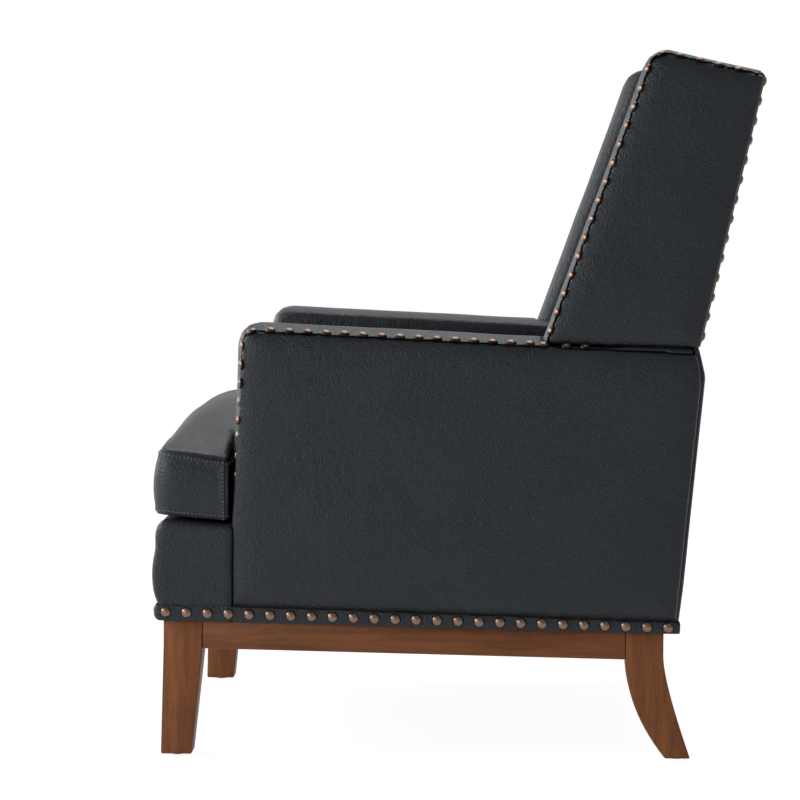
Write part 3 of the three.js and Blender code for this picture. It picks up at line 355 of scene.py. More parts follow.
@dataclass(frozen=True)
class Speckled:
    """A plain stuff with its own fine texture: foam, nylon, thread, oiled steel or zip brass."""

    name: str
    colour: str
    shade: str
    grain_mm: float
    relief: float
    roughness: float
    metallic: float = 0.0

    def build(self) -> bpy.types.Material:
        """Makes the material."""
        material, tree, point = start_material(self.name)
        grain = add_node(tree, "ShaderNodeTexNoise", {}, {
            "Vector": point, "Scale": 1 / (self.grain_mm * MM), "Detail": 3.0,
        })
        colour = ramp(tree, grain.outputs["Fac"], {0.35: self.shade, 0.65: self.colour})
        return shaded(material, grain.outputs["Fac"], self.relief, 0.6, {
            "Base Color": colour, "Roughness": self.roughness, "Metallic": self.metallic,
        })


@dataclass
class Finishes:
    """Every finish on the chair, built once."""

    leather: bpy.types.Material = field(default_factory=CoatedLeather().build)
    brass: bpy.types.Material = field(default_factory=AgedBrass().build)
    decking: bpy.types.Material = field(
        default_factory=WovenCloth("cotton_decking", "26282a", "141516", 1.6).build)
    cambric: bpy.types.Material = field(
        default_factory=WovenCloth("black_cambric", "1f2022", "0f1011", 1.2).build)
    jute: bpy.types.Material = field(
        default_factory=WovenCloth("jute_webbing", "a07c50", "6a4f30", 2.6).build)
    foam: bpy.types.Material = field(
        default_factory=Speckled("upholstery_foam", "ead9a2", "d6c184", 1.4, 0.6, 0.95).build)
    nylon: bpy.types.Material = field(
        default_factory=Speckled("moulded_nylon", "1d1d1e", "141415", 0.8, 0.15, 0.5).build)
    thread: bpy.types.Material = field(
        default_factory=Speckled("bonded_thread", "74777c", "4a4d52", 0.6, 0.4, 0.4).build)
    steel: bpy.types.Material = field(
        default_factory=Speckled("oiled_spring_steel", "70757a", "4c5054", 3.0, 0.1, 0.35, 1.0).build)
    zip_metal: bpy.types.Material = field(
        default_factory=Speckled("zip_brass", "8a6a48", "5a4430", 1.0, 0.2, 0.4, 0.9).build)
    walnut: dict[Along, bpy.types.Material] = field(default_factory=dict)
    timber: dict[Along, bpy.types.Material] = field(default_factory=dict)

    def __post_init__(self) -> None:
        """Builds the woods, one material for each way that the grain runs."""
        for along in Along:
            way = along.name.lower()
            self.walnut[along] = Timber(
                f"lacquered_walnut_{way}", along, "592f17", "774523", "8f572c", "341c10", 0.45, 0.28).build()
            self.timber[along] = Timber(
                f"sawn_birch_{way}", along, "a98355", "c19a6b", "d2b084", "7c5c38", 0.75).build()


@dataclass(frozen=True)
class ChairLines:
    """The lines that the chair's pieces follow, seen from the side. Falls and rakes are in degrees."""

    body_width: float = 720
    body_depth: float = 815
    back_height: float = 950.5
    crest_setback: float = 132
    base_height: float = 186.5
    arm_height: float = 578
    arm_width: float = 95
    arm_foot_y: float = 109
    deck_height: float = 325
    wing_top_depth: float = 149.7
    wing_foot_height: float = 561
    wing_width: float = 52
    wing_inset: float = 8
    split_height: float = 558
    roll_height: float = 518
    lower_back_proud: float = 13
    rear_panel: float = 6
    rear_padding: float = 5
    gap: float = 0.3
    base_fall: float = 1.04
    deck_fall: float = 4.5
    arm_fall: float = 2.7
    arm_rake: float = 3.4
    wing_rake: float = 20
    crest_fall: float = 11.4
    wing_foot_fall: float = 0.9
    back_rake: float = 12.9
    lower_rake: float = 5.4
    band_height: float = 21.8
    band_fall: float = 0.52

    @property
    def outer_x(self) -> float:
        """Outer face of the arms."""
        return self.body_width / 2

    @property
    def arm_inner_x(self) -> float:
        """Inner face of the arms."""
        return self.outer_x - self.arm_width

    @property
    def wing_outer_x(self) -> float:
        """Outer face of the wings."""
        return self.outer_x - self.wing_inset

    @staticmethod
    def slope(degrees: float) -> float:
        """Slope of a line, from its angle."""
        return math.tan(math.radians(degrees))

    def base_z(self, y: float) -> float:
        """Underside of the body."""
        return self.base_height - self.slope(self.base_fall) * y

    def under_z(self, y: float) -> float:
        """Lower edge of the covers."""
        return self.base_z(y) + self.gap

    def deck_z(self, y: float) -> float:
        """Top of the seat deck."""
        return self.deck_height - self.slope(self.deck_fall) * y

    def arm_top_z(self, y: float) -> float:
        """Top edge of the outer arm panels."""
        return self.arm_height - self.slope(self.arm_fall) * (y - self.arm_foot_y)

    def arm_front_y(self, z: float) -> float:
        """Front edge of the outer arm panels."""
        return self.arm_foot_y + self.slope(self.arm_rake) * max(z - self.deck_z(self.arm_foot_y), 0)

    def wing_front_y(self, z: float) -> float:
        """Front of the wings' padded strips."""
        return self.body_depth - self.wing_top_depth - self.slope(self.wing_rake) * (self.back_height - z)

    def wing_top_z(self, y: float) -> float:
        """Top of the wings' padded strips."""
        return self.back_height - self.slope(self.crest_fall) * (y - self.body_depth + self.crest_setback)

    def wing_bottom_z(self, y: float) -> float:
        """Lower edge of the wings."""
        behind = y - self.wing_front_y(self.wing_foot_height)
        return self.wing_foot_height - self.slope(self.wing_foot_fall) * behind

    def rear_y(self, z: float) -> float:
        """Outer face of the back, above the split."""
        return self.body_depth - self.slope(self.back_rake) * (self.wing_top_z(self.body_depth) - z)

    def lower_rear_y(self, z: float) -> float:
        """Outer face of the body's rear, below the split."""
        rolled = max(z - self.roll_height, 0) / (self.split_height - self.roll_height)
        low = self.rear_y(self.split_height) + self.lower_back_proud * (1 - rolled)
        return low - self.slope(self.lower_rake) * (self.split_height - z)

    def band_top_z(self, y: float) -> float:
        """Top of the trim band."""
        return self.base_z(y) + self.band_height - self.slope(self.band_fall) * y

    @staticmethod
    def meet(depth: Line, height: Line) -> tuple[float, float]:
        """Corner where a line given as depth over height meets one given as height over depth.

        Args:
            depth: depth of the first line at a height.
            height: height of the second line at a depth.

        Returns:
            The corner's depth and height.
        """
        y = 0.0
        for _ in range(12):
            y = depth(height(y))
        return y, height(y)

    def place(self, x: float, y: float, z: float) -> Vector:
        """A point in metres, centred on the chair's depth."""
        return Vector((x, y - self.body_depth / 2, z)) * MM

    def measure(self, point: Vector) -> tuple[float, float, float]:
        """Side, depth and height of a point that is in metres."""
        return point.x / MM, point.y / MM + self.body_depth / 2, point.z / MM


LINES = ChairLines()


def moved(line: Line, distance: float) -> Line:
    """A line moved by a distance."""
    return lambda at: line(at) + distance


def fading(distance: float, reach: float) -> float:
    """1 up to a distance of 0, and fading away past it."""
    return math.exp(-max(distance, 0) / reach)


def bell(distance: float, width: float) -> float:
    """1 at a distance of 0, and fading away smoothly to both sides."""
    return math.exp(-((distance / width) ** 2))


def ease_back(shape: bmesh.types.BMesh, reach: float = 25) -> None:
    """Takes the rear end of a padded piece back to the outside back's padding.

    Args:
        shape: the piece.
        reach: how far from its rear end the piece stretches.
    """
    for vert in shape.verts:
        end = LINES.rear_y(vert.co.z / MM) - LINES.rear_panel - LINES.gap - LINES.body_depth / 2
        vert.co.y += LINES.rear_padding * MM * fading(end - vert.co.y / MM, reach)


def scene_object(name: str, shape: bmesh.types.BMesh) -> bpy.types.Object:
    """Puts an object with a shape's mesh in the scene. The shape is kept."""
    mesh = bpy.data.meshes.new(name)
    shape.to_mesh(mesh)
    made = bpy.data.objects.new(name, mesh)
    bpy.context.scene.collection.objects.link(made)
    return made


def discard(draft: bpy.types.Object) -> None:
    """Removes a draft object and its mesh."""
    mesh = draft.data
    bpy.data.objects.remove(draft)
    bpy.data.meshes.remove(mesh)


def finish_piece(
    name: str, shape: bmesh.types.BMesh, material: bpy.types.Material, body: Body, sharp_degrees: float
) -> bpy.types.Object:
    """Turns a bmesh into a piece that rides on a body.

    Args:
        name: the piece's name.
        shape: its shape, which is freed.
        material: its finish.
        body: what it rides on.
        sharp_degrees: edges that turn more than this stay crisp.

    Returns:
        The piece.
    """
    for face in shape.faces:
        face.smooth = True
    for edge in shape.edges:
        if len(edge.link_faces) == 2 and edge.calc_face_angle(0.0) > math.radians(sharp_degrees):
            edge.smooth = False
    piece = scene_object(name, shape)
    shape.free()
    piece.data.materials.append(material)
    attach(piece, body.value)
    return piece


def rounded(corners: Sequence[tuple[float, float, float]], steps: int = 6) -> list[tuple[float, float]]:
    """An outline whose corners are rounded by arcs.

    Args:
        corners: two coordinates and the arc's reach along both edges, 0 for a sharp corner.
        steps: pieces of each arc.

    Returns:
        The outline's points.
    """
    points = []
    for k, (x, y, reach) in enumerate(corners):
        corner = Vector((x, y))
        before = (Vector(corners[k - 1][:2]) - corner).normalized()
        after = (Vector(corners[(k + 1) % len(corners)][:2]) - corner).normalized()
        if reach == 0:
            points.append((x, y))
            continue
        weight = math.sin(before.angle(after) / 2)
        for t in (step / steps for step in range(steps + 1)):
            a, b, c = (1 - t) ** 2, 2 * weight * t * (1 - t), t * t
            point = (a * (corner + before * reach) + b * corner + c * (corner + after * reach)) / (a + b + c)
            points.append((point.x, point.y))
    return points


def extruded(shape: bmesh.types.BMesh, face: bmesh.types.BMFace) -> bmesh.types.BMFace:
    """Extrudes a face where it is, and gives the new one."""
    made = bmesh.ops.extrude_face_region(shape, geom=[face])["geom"]
    return next(item for item in made if isinstance(item, bmesh.types.BMFace))


def cap_rims(shape: bmesh.types.BMesh) -> None:
    """Closes a shape where it is open."""
    rim = [edge for edge in shape.edges if edge.is_boundary]
    if rim:
        bmesh.ops.contextual_create(shape, geom=rim)


def turned(profile: Iterable[Vector], centre: Vector, steps: int) -> bmesh.types.BMesh:
    """A profile turned about an upright axis.

    Args:
        profile: its points, from one end to the other.
        centre: a point on the axis.
        steps: facets round the shape.

    Returns:
        The closed shape.
    """
    shape = bmesh.new()
    verts = [shape.verts.new(point) for point in profile]
    edges = [shape.edges.new(ends) for ends in zip(verts, verts[1:])]
    bmesh.ops.spin(
        shape, geom=verts + edges, cent=centre, axis=(0, 0, 1), angle=2 * math.pi, steps=steps,
        use_merge=True, use_duplicate=False,
    )
    bmesh.ops.remove_doubles(shape, verts=shape.verts, dist=1e-6)
    cap_rims(shape)
    bmesh.ops.recalc_face_normals(shape, faces=shape.faces)
    return shape


def slab(
    corners: Profile, x0: float, x1: float, roll: tuple[float, float], steps: int = 4
) -> bmesh.types.BMesh:
    """A side outline run across the chair, its outer end rolled over.

    Args:
        corners: the outline's depths and heights.
        x0: where it starts.
        x1: where it ends, past x0.
        roll: how far the roll runs across, and how far it draws in.
        steps: facets of the roll.

    Returns:
        The closed shape.
    """
    across, inward = roll
    shape = bmesh.new()
    first = shape.faces.new([shape.verts.new(LINES.place(x0, y, z)) for y, z in corners])
    far = extruded(shape, first)
    bmesh.ops.translate(shape, verts=list(far.verts), vec=Vector((x1 - across - x0, 0, 0)) * MM)
    bmesh.ops.recalc_face_normals(shape, faces=shape.faces)
    turns = [math.pi / 2 * k / steps for k in range(steps + 1)]
    for low, high in zip(turns, turns[1:]):
        bmesh.ops.inset_region(
            shape, faces=[far], use_boundary=True, use_even_offset=True,
            thickness=inward * MM * (math.cos(low) - math.cos(high)),
            depth=across * MM * (math.sin(high) - math.sin(low)),
        )
    return shape


def grid_cut(shape: bmesh.types.BMesh, axis: int, step: float) -> None:
    """Cuts a shape by evenly spaced planes, so that its broad faces can be padded.

    Args:
        shape: what is cut.
        axis: 0, 1 or 2 for planes square to X, Y or Z.
        step: distance between planes.
    """
    values = [vert.co[axis] for vert in shape.verts]
    normal = Vector([float(i == axis) for i in range(3)])
    count = int((max(values) - min(values)) / (step * MM))
    for k in range(1, count + 1):
        bmesh.ops.bisect_plane(
            shape, geom=shape.verts[:] + shape.edges[:] + shape.faces[:], dist=1e-6,
            plane_co=normal * (min(values) + k * step * MM), plane_no=normal,
        )


def outline_distance(points: np.ndarray, corners: np.ndarray) -> np.ndarray:
    """Distance of points from a closed outline.

    Args:
        points: points in a plane, one to a row.
        corners: the outline's corners, one to a row.

    Returns:
        One distance for each point.
    """
    best = np.full(len(points), np.inf)
    for a, b in zip(corners, np.roll(corners, -1, axis=0)):
        edge = b - a
        share = np.clip((points - a) @ edge / max(edge @ edge, 1e-12), 0, 1)
        best = np.minimum(best, np.linalg.norm(points - a - share[:, None] * edge, axis=1))
    return best


def coordinates(mesh: bpy.types.Mesh) -> np.ndarray:
    """The vertices of a mesh, one to a row."""
    flat = np.empty(len(mesh.vertices) * 3)
    mesh.vertices.foreach_get("co", flat)
    return flat.reshape(-1, 3)


def set_coordinates(mesh: bpy.types.Mesh, points: np.ndarray) -> None:
    """Moves the vertices of a mesh."""
    mesh.vertices.foreach_set("co", points.ravel())
    mesh.update()


def side_view(corners: Profile) -> list[tuple[float, float]]:
    """Depths and heights in metres, centred on the chair's depth."""
    return [tuple(LINES.place(0, y, z)[1:]) for y, z in corners]


def ripple(point: Vector, size: float) -> float:
    """Smooth noise from about -1 to 1 that changes over a distance in millimetres."""
    return noise.noise(point / (size * MM))


@dataclass
class PanelPad:
    """Padding under an outer panel's leather: how the broad face domes in from its edges."""

    tight: tuple[float, float] = (5.5, 11.0)
    wide: tuple[float, float] = (2.0, 40.0)
    waviness: float = 0.9

    def apply(
        self, shape: bmesh.types.BMesh, outline: Profile, axis: int, foot: Line | None = None
    ) -> None:
        """Domes the broad face of a panel.

        Args:
            shape: the panel.
            outline: its corners in metres, along the two axes that it spans.
            axis: 0 for a face that looks to +X, 1 for one that looks to +Y.
            foot: where given, the height below which the panel lies flat, under the trim band.
        """
        shape.normal_update()
        spanned = [k for k in range(3) if k != axis]
        points = np.array([vert.co[:] for vert in shape.verts])
        far = outline_distance(points[:, spanned], np.array(outline)) / MM
        if foot:
            above = points[:, 2] / MM - foot(points[:, 1] / MM + LINES.body_depth / 2)
            far = np.minimum(far, np.clip(above, 0, None))
        for vert, distance in zip(shape.verts, far):
            if vert.normal[axis] > 0.3:
                pads = (self.tight, self.wide)
                rise = sum(height * (1 - math.exp(-distance / reach)) for height, reach in pads)
                wave = self.waviness * ripple(vert.co, 90) * min(distance / 40, 1)
                vert.co[axis] += (rise + wave) * MM


@dataclass
class NailedStrip:
    """The outer edge of a padded strip, drawn down to a row of nails beside the panel that it borders."""

    path: Profile
    outer_x: float
    crown: float
    soft: float
    first: float
    pitch: float
    last_y: float
    inset: float = 7.2
    tilt: float = 10.0
    wobble: float = 0.1
    flat: float = 0.12
    pucker: float = 1.0
    top_lift: float = 1.0
    front_lift: float = -0.8
    pleat: float = 2.2
    pleats_a_turn: int = 18
    fade: tuple[float, float] = (15, 35)

    def __post_init__(self) -> None:
        """Works out the path's steps, and which way is outwards along each."""
        points = np.array([LINES.place(0, y, z)[1:] for y, z in self.path]) / MM
        self.starts, edges = points[:-1], np.diff(points, axis=0)
        self.lengths = np.linalg.norm(edges, axis=1)
        self.along = edges / self.lengths[:, None]
        self.outwards = np.column_stack((-self.along[:, 1], self.along[:, 0]))
        self.arcs = np.concatenate(([0.0], np.cumsum(self.lengths)))

    def nearest(self, points: np.ndarray) -> tuple[np.ndarray, np.ndarray, np.ndarray]:
        """Nearest places on the path.

        Args:
            points: depths and heights in millimetres, centred on the chair's depth.

        Returns:
            The nearest places, how far outside the path each point is, and how far along the path.
        """
        best = np.full(len(points), np.inf)
        feet, out, arc = np.zeros_like(points), np.zeros(len(points)), np.zeros(len(points))
        for k, start in enumerate(self.starts):
            run = np.clip((points - start) @ self.along[k], 0, self.lengths[k])
            foot = start + run[:, None] * self.along[k]
            gap = np.linalg.norm(points - foot, axis=1)
            better = gap < best
            best[better], feet[better] = gap[better], foot[better]
            out[better] = ((points - foot) @ self.outwards[k])[better]
            arc[better] = (self.arcs[k] + run)[better]
        return feet, out, arc

    def level(self, across: np.ndarray | float) -> np.ndarray | float:
        """Share of the crown that the strip reaches at a distance from its outer edge."""
        near = np.clip(across / self.inset, 0, 1) ** 0.5
        climb = np.clip((across - self.inset) / (self.soft - self.inset), 0, 1)
        return self.flat * near + (1 - self.flat) * climb ** 2 * (3 - 2 * climb)

    def pleats(self, offsets: np.ndarray, arc: np.ndarray) -> np.ndarray:
        """Radial folds where the strip turns the corner.

        Args:
            offsets: from the path to each point.
            arc: how far along the path each point's nearest place is.

        Returns:
            The folds' height, from -1 to 1, and 0 away from the corner.
        """
        bent = (arc > self.arcs[1] - 2) & (arc < self.arcs[-2] + 2)
        return np.where(bent, np.cos(self.pleats_a_turn * np.arctan2(offsets[:, 1], offsets[:, 0])), 0.0)

    def draw_down(self, shape: bmesh.types.BMesh) -> None:
        """Presses the strip's outer edge down, most at each nail.

        Args:
            shape: the cover on the sitter's left.
        """
        points = np.array([vert.co[:] for vert in shape.verts]) / MM
        feet, out, arc = self.nearest(points[:, 1:])
        across = np.clip(self.outer_x - points[:, 0], 0.5, None)
        share = np.clip(across / self.soft, 0, 1)
        lowered = self.level(across) / np.sqrt(1 - (1 - share) ** 2)
        between = (1 - np.cos(2 * np.pi * (arc - self.first) / self.pitch)) / 2
        puffed = 1 + self.pucker * between * np.exp(-(((across - self.inset) / 8) ** 2))
        scale = np.where((out > 0.2) & (across < self.soft), lowered * puffed, 1.0)
        folds = self.pleat * self.pleats(points[:, 1:] - feet, arc) * np.exp(-(((across - 14) / 12) ** 2))
        reach = np.linalg.norm(points[:, 1:] - feet, axis=1)
        scale = np.where(scale != 1.0, scale + folds / np.maximum(reach, 3), 1.0)
        start, reach = self.fade
        past = np.clip((points[:, 1] + LINES.body_depth / 2 - self.last_y - start) / reach, 0, 1)
        scale = 1 + (scale - 1) * (1 - past)
        moved_points = feet + (points[:, 1:] - feet) * scale[:, None]
        for vert, (y, z), changed in zip(shape.verts, moved_points, scale != 1.0):
            if changed:
                vert.co.y, vert.co.z = y * MM, z * MM

    def seats(self, skin: BVHTree) -> list[tuple[Vector, Vector]]:
        """Where the nails sit on the sitter's left, and which way they look.

        Args:
            skin: the cover's surface.

        Returns:
            Places and directions.
        """
        found = []
        tilt = math.radians(self.tilt)
        height = self.crown * min(self.flat, 0.3)
        arc = self.first
        while True:
            k = int(np.searchsorted(self.arcs, arc, side="right")) - 1
            if k >= len(self.starts):
                return found
            foot = self.starts[k] + (arc - self.arcs[k]) * self.along[k]
            on_top = self.along[k][0] > 0.8
            if on_top and foot[0] > self.last_y - LINES.body_depth / 2:
                return found
            mark = foot + self.outwards[k] * height
            place = skin.find_nearest(Vector((self.outer_x - self.inset, *mark)) * MM)[0]
            y, z = self.outwards[k] * math.cos(tilt)
            wobble = Vector([noise.noise(place * size) for size in (900, 700, 800)]) * self.wobble
            look = (Vector((math.sin(tilt), y, z)) + wobble).normalized()
            lift = self.top_lift if on_top else self.front_lift
            found.append((place + look * (lift * MM), look))
            arc += self.pitch


def node_copy(node: str) -> bmesh.types.BMesh:
    """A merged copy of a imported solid."""
    shape = bmesh.new()
    shape.from_mesh(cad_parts[node].data)
    bmesh.ops.remove_doubles(shape, verts=shape.verts, dist=1e-5)
    return shape


def remeshed(shape: bmesh.types.BMesh, voxel: float, rounds: int) -> bmesh.types.BMesh:
    """Even small faces over a shape, smoothed.

    Args:
        shape: the shape, which is freed.
        voxel: size of the new faces.
        rounds: how often the surface is smoothed.

    Returns:
        The new shape.
    """
    draft = scene_object("draft", shape)
    shape.free()
    skin = draft.modifiers.new("skin", "REMESH")
    skin.mode = "VOXEL"
    skin.voxel_size = voxel * MM
    even = bpy.data.meshes.new_from_object(draft.evaluated_get(bpy.context.evaluated_depsgraph_get()))
    result = bmesh.new()
    result.from_mesh(even)
    discard(draft)
    bpy.data.meshes.remove(even)
    for _ in range(rounds):
        bmesh.ops.smooth_vert(
            result, verts=result.verts, factor=0.5, use_axis_x=True, use_axis_y=True, use_axis_z=True)
    return result


def softened(node: str, voxel: float, rounds: int) -> bmesh.types.BMesh:
    """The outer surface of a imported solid, with even small faces and soft edges.

    Args:
        node: the solid.
        voxel: size of the faces.
        rounds: how often the surface is smoothed.

    Returns:
        The shape.
    """
    shape = remeshed(node_copy(node), voxel, rounds)
    largest_shell(shape)
    return shape


def mirrored(shape: bmesh.types.BMesh) -> bmesh.types.BMesh:
    """A mirror image of a shape in the chair's middle plane, with its faces turned outwards again."""
    copy = shape.copy()
    bmesh.ops.scale(copy, vec=(-1, 1, 1), verts=copy.verts)
    bmesh.ops.reverse_faces(copy, faces=copy.faces)
    return copy


@dataclass
class NailRow:
    """Domed nail heads set along a line, all in one piece."""

    diameter: float = 15.6
    height: float = 4.6
    sides: int = 14

    def head(self) -> bpy.types.Mesh:
        """One head, its rim on the plane z = 0, with the attribute crown.

        Returns:
            The head's mesh.
        """
        radius = self.diameter / 2
        profile = [(radius, -0.6), (radius, 0.5), (0.86 * radius, 0.42 * self.height),
                   (0.6 * radius, 0.8 * self.height), (0.3 * radius, 0.96 * self.height), (0.0, self.height)]
        shape = turned([Vector((r, 0, z)) * MM for r, z in profile], Vector(), self.sides)
        layer = shape.verts.layers.float.new("crown")
        for vert in shape.verts:
            vert[layer] = min(max(vert.co.z / (self.height * MM), 0), 1)
        mesh = bpy.data.meshes.new("nail_head")
        shape.to_mesh(mesh)
        shape.free()
        return mesh

    def build(
        self, name: str, seats: Iterable[tuple[Vector, Vector]], material: bpy.types.Material
    ) -> bpy.types.Object:
        """Sets the heads.

        Args:
            name: the piece's name.
            seats: where each head's rim is centred, and which way it looks.
            material: the nails' finish.

        Returns:
            The piece.
        """
        head = self.head()
        row = bmesh.new()
        row.verts.layers.float.new("crown")
        for place, normal in seats:
            before = len(row.verts)
            row.from_mesh(head)
            row.verts.ensure_lookup_table()
            turn = normal.to_track_quat("Z", "Y").to_matrix().to_4x4()
            bmesh.ops.transform(row, matrix=Matrix.Translation(place) @ turn, verts=row.verts[before:])
        bpy.data.meshes.remove(head)
        return finish_piece(name, row, material, Body.CHAIR, 50)


@dataclass
class Stitching:
    """Short raised stitches along a line on a piece's surface."""

    pitch: float = 5.2
    length: float = 3.2
    width: float = 1.5

    def build(
        self, name: str, lines: Iterable[Sequence[Vector]], surface: BVHTree, material: bpy.types.Material,
        body: Body,
    ) -> bpy.types.Object:
        """Lays the stitches.

        Args:
            name: the piece's name.
            lines: each row's points, near the surface.
            surface: what the stitches lie on.
            material: the thread.
            body: what they ride on.

        Returns:
            The piece.
        """
        rows = bmesh.new()
        for line in lines:
            carried = 0.0
            for a, b in zip(line, line[1:]):
                span = (b - a).length
                while carried < span:
                    point = a.lerp(b, carried / span)
                    hit, normal, _, _ = surface.find_nearest(point)
                    if hit is not None:
                        self.stitch(rows, hit, normal, (b - a).normalized())
                    carried += self.pitch * MM
                carried -= span
        return finish_piece(name, rows, material, body, 60)

    def stitch(self, rows: bmesh.types.BMesh, place: Vector, normal: Vector, along: Vector) -> None:
        """Adds one stitch.

        Args:
            rows: what it is added to.
            place: its middle, on the surface.
            normal: the surface's normal there.
            along: the way that the row runs.
        """
        side = normal.cross(along).normalized()
        turn = Matrix((along, side, normal)).transposed().to_4x4()
        size = Matrix.Diagonal((self.length * MM / 2, self.width * MM / 2, self.width * MM / 2, 1))
        matrix = Matrix.Translation(place) @ turn @ size
        bmesh.ops.create_icosphere(rows, subdivisions=1, radius=1.0, matrix=matrix)


def surface_of(piece: bpy.types.Object) -> BVHTree:
    """A search tree of a piece's surface."""
    return BVHTree.FromPolygons(
        [vert.co[:] for vert in piece.data.vertices], [face.vertices[:] for face in piece.data.polygons])


def spaced(line: Sequence[Vector], pitch: float) -> list[tuple[Vector, Vector]]:
    """Evenly spaced points on a line, with its direction at each.

    Args:
        line: the line's points.
        pitch: about how far apart they lie.

    Returns:
        Points and directions, from one end to the other.
    """
    spans = [(b - a).length for a, b in zip(line, line[1:])]
    total = sum(spans)
    count = max(round(total / (pitch * MM)), 1)
    found = []
    for k in range(count + 1):
        target = total * k / count
        index = 0
        while index < len(spans) - 1 and target > spans[index]:
            target -= spans[index]
            index += 1
        a, b = line[index], line[index + 1]
        found.append((a.lerp(b, min(target / spans[index], 1)), (b - a).normalized()))
    return found


def sewn(shape: bmesh.types.BMesh, lines: Iterable[Sequence[Vector]], depth: float, cell: float) -> None:
    """Draws a padded surface in along sewn lines.

    Args:
        shape: the padded surface.
        lines: the seams.
        depth: how far it is drawn in at a seam.
        cell: size of the surface's faces, which are made finer beside the seams.
    """
    marks = []
    for line in lines:
        marks += [point for point, _ in spaced(line, 0.8)]
    tree = KDTree(len(marks))
    for number, mark in enumerate(marks):
        tree.insert(mark, number)
    tree.balance()
    for reach in (3 * cell, 1.6 * cell):
        near = {vert for vert in shape.verts if tree.find(vert.co)[2] < reach * MM}
        beside = [edge for edge in shape.edges if edge.verts[0] in near and edge.verts[1] in near]
        bmesh.ops.subdivide_edges(shape, edges=beside, cuts=1, use_grid_fill=True)
    shape.normal_update()
    skin = BVHTree.FromBMesh(shape)
    feet = [skin.find_nearest(mark)[0] for mark in marks]
    for vert in shape.verts:
        mark, number, distance = tree.find(vert.co)
        if distance > 4 * cell * MM:
            continue
        far = (vert.co - feet[number]).length / MM
        crease = 1.1 * bell(far, 1.2) - 0.45 * bell(far - 5, 3)
        vert.co += (mark - feet[number]) * bell(far, 3.5) - vert.normal * (depth * crease * MM)


def outward(ring: Sequence[tuple[float, float]]) -> list[Vector]:
    """Which way is outwards at each point of a ring that runs counter-clockwise."""
    found = []
    for k in range(len(ring)):
        (ax, ay), (bx, by) = ring[k - 1], ring[(k + 1) % len(ring)]
        found.append(Vector((by - ay, ax - bx)).normalized())
    return found


def inflated(
    shape: bmesh.types.BMesh, pressure: float, cap: float, held: Callable[[np.ndarray], np.ndarray]
) -> bmesh.types.BMesh:
    """Blows a cover up as cloth whose seams are held.

    Args:
        shape: the cover, evenly divided, which is moved and returned.
        pressure: the push from inside.
        cap: how far a point may move.
        held: which of the points, in millimetres, are held.

    Returns:
        The swollen cover.
    """
    draft = scene_object("draft", shape)
    seams = draft.vertex_groups.new(name="seams")
    fixed = np.nonzero(held(coordinates(draft.data) / MM))[0]
    seams.add([int(number) for number in fixed], 1.0, "REPLACE")
    cloth = draft.modifiers.new("cloth", "CLOTH")
    cloth.settings.quality = 4
    cloth.settings.mass = 0.4
    cloth.settings.use_pressure = True
    cloth.settings.uniform_pressure_force = pressure
    cloth.settings.effector_weights.gravity = 0
    cloth.settings.vertex_group_mass = seams.name
    cloth.collision_settings.use_collision = False
    cloth.point_cache.frame_end = 20
    scene = bpy.context.scene
    for number in range(1, 21):
        scene.frame_set(number)
    swollen = draft.evaluated_get(bpy.context.evaluated_depsgraph_get()).data
    for vert, after in zip(shape.verts, swollen.vertices):
        shift = after.co - vert.co
        if shift.length > cap * MM:
            shift *= cap * MM / shift.length
        vert.co += shift
    scene.frame_set(1)
    discard(draft)
    return shape


def pair(shape: bmesh.types.BMesh) -> dict[Side, bmesh.types.BMesh]:
    """A shape for the sitter's left side, and its mirror image for the right."""
    return {Side.LEFT: shape, Side.RIGHT: mirrored(shape)}


def across_to(side: Side, seats: list[tuple[Vector, Vector]]) -> list[tuple[Vector, Vector]]:
    """Nail seats found on the sitter's left, taken to a side."""
    flip = Vector((side.value, 1, 1))
    return [(place * flip, look * flip) for place, look in seats]


def stands_for(piece: bpy.types.Object, slot: str, *nodes: str) -> None:
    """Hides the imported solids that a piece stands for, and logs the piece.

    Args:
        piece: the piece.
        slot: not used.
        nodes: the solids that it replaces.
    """
    if nodes:
        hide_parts(*nodes)
    LOG.info("built %s with %d faces", piece.name, len(piece.data.polygons))


def padded_piece(
    name: str, shape: bmesh.types.BMesh, material: bpy.types.Material, slot: str, node: str,
    sharp_degrees: float = 60, body: Body = Body.CHAIR,
) -> bpy.types.Object:
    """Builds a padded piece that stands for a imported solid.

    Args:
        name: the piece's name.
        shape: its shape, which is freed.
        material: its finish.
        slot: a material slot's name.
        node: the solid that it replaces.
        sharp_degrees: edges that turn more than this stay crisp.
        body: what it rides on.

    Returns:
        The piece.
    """
    piece = finish_piece(name, shape, material, body, sharp_degrees)
    stands_for(piece, slot, node)
    return piece


def refinish(node: str, material: bpy.types.Material) -> None:
    """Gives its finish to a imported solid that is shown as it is."""
    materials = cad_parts[node].data.materials
    materials.clear()
    materials.append(material)


def largest_shell(shape: bmesh.types.BMesh) -> None:
    """Keeps only the outermost of a shape's separate surfaces."""
    left = set(shape.verts)
    shells = []
    while left:
        shell = {left.pop()}
        edge_of = list(shell)
        while edge_of:
            vert = edge_of.pop()
            for edge in vert.link_edges:
                other = edge.other_vert(vert)
                if other not in shell:
                    shell.add(other)
                    edge_of.append(other)
        left -= shell
        shells.append(shell)
    shells.sort(key=len, reverse=True)
    inner = [vert for shell in shells[1:] for vert in shell]
    bmesh.ops.delete(shape, geom=inner, context="VERTS")


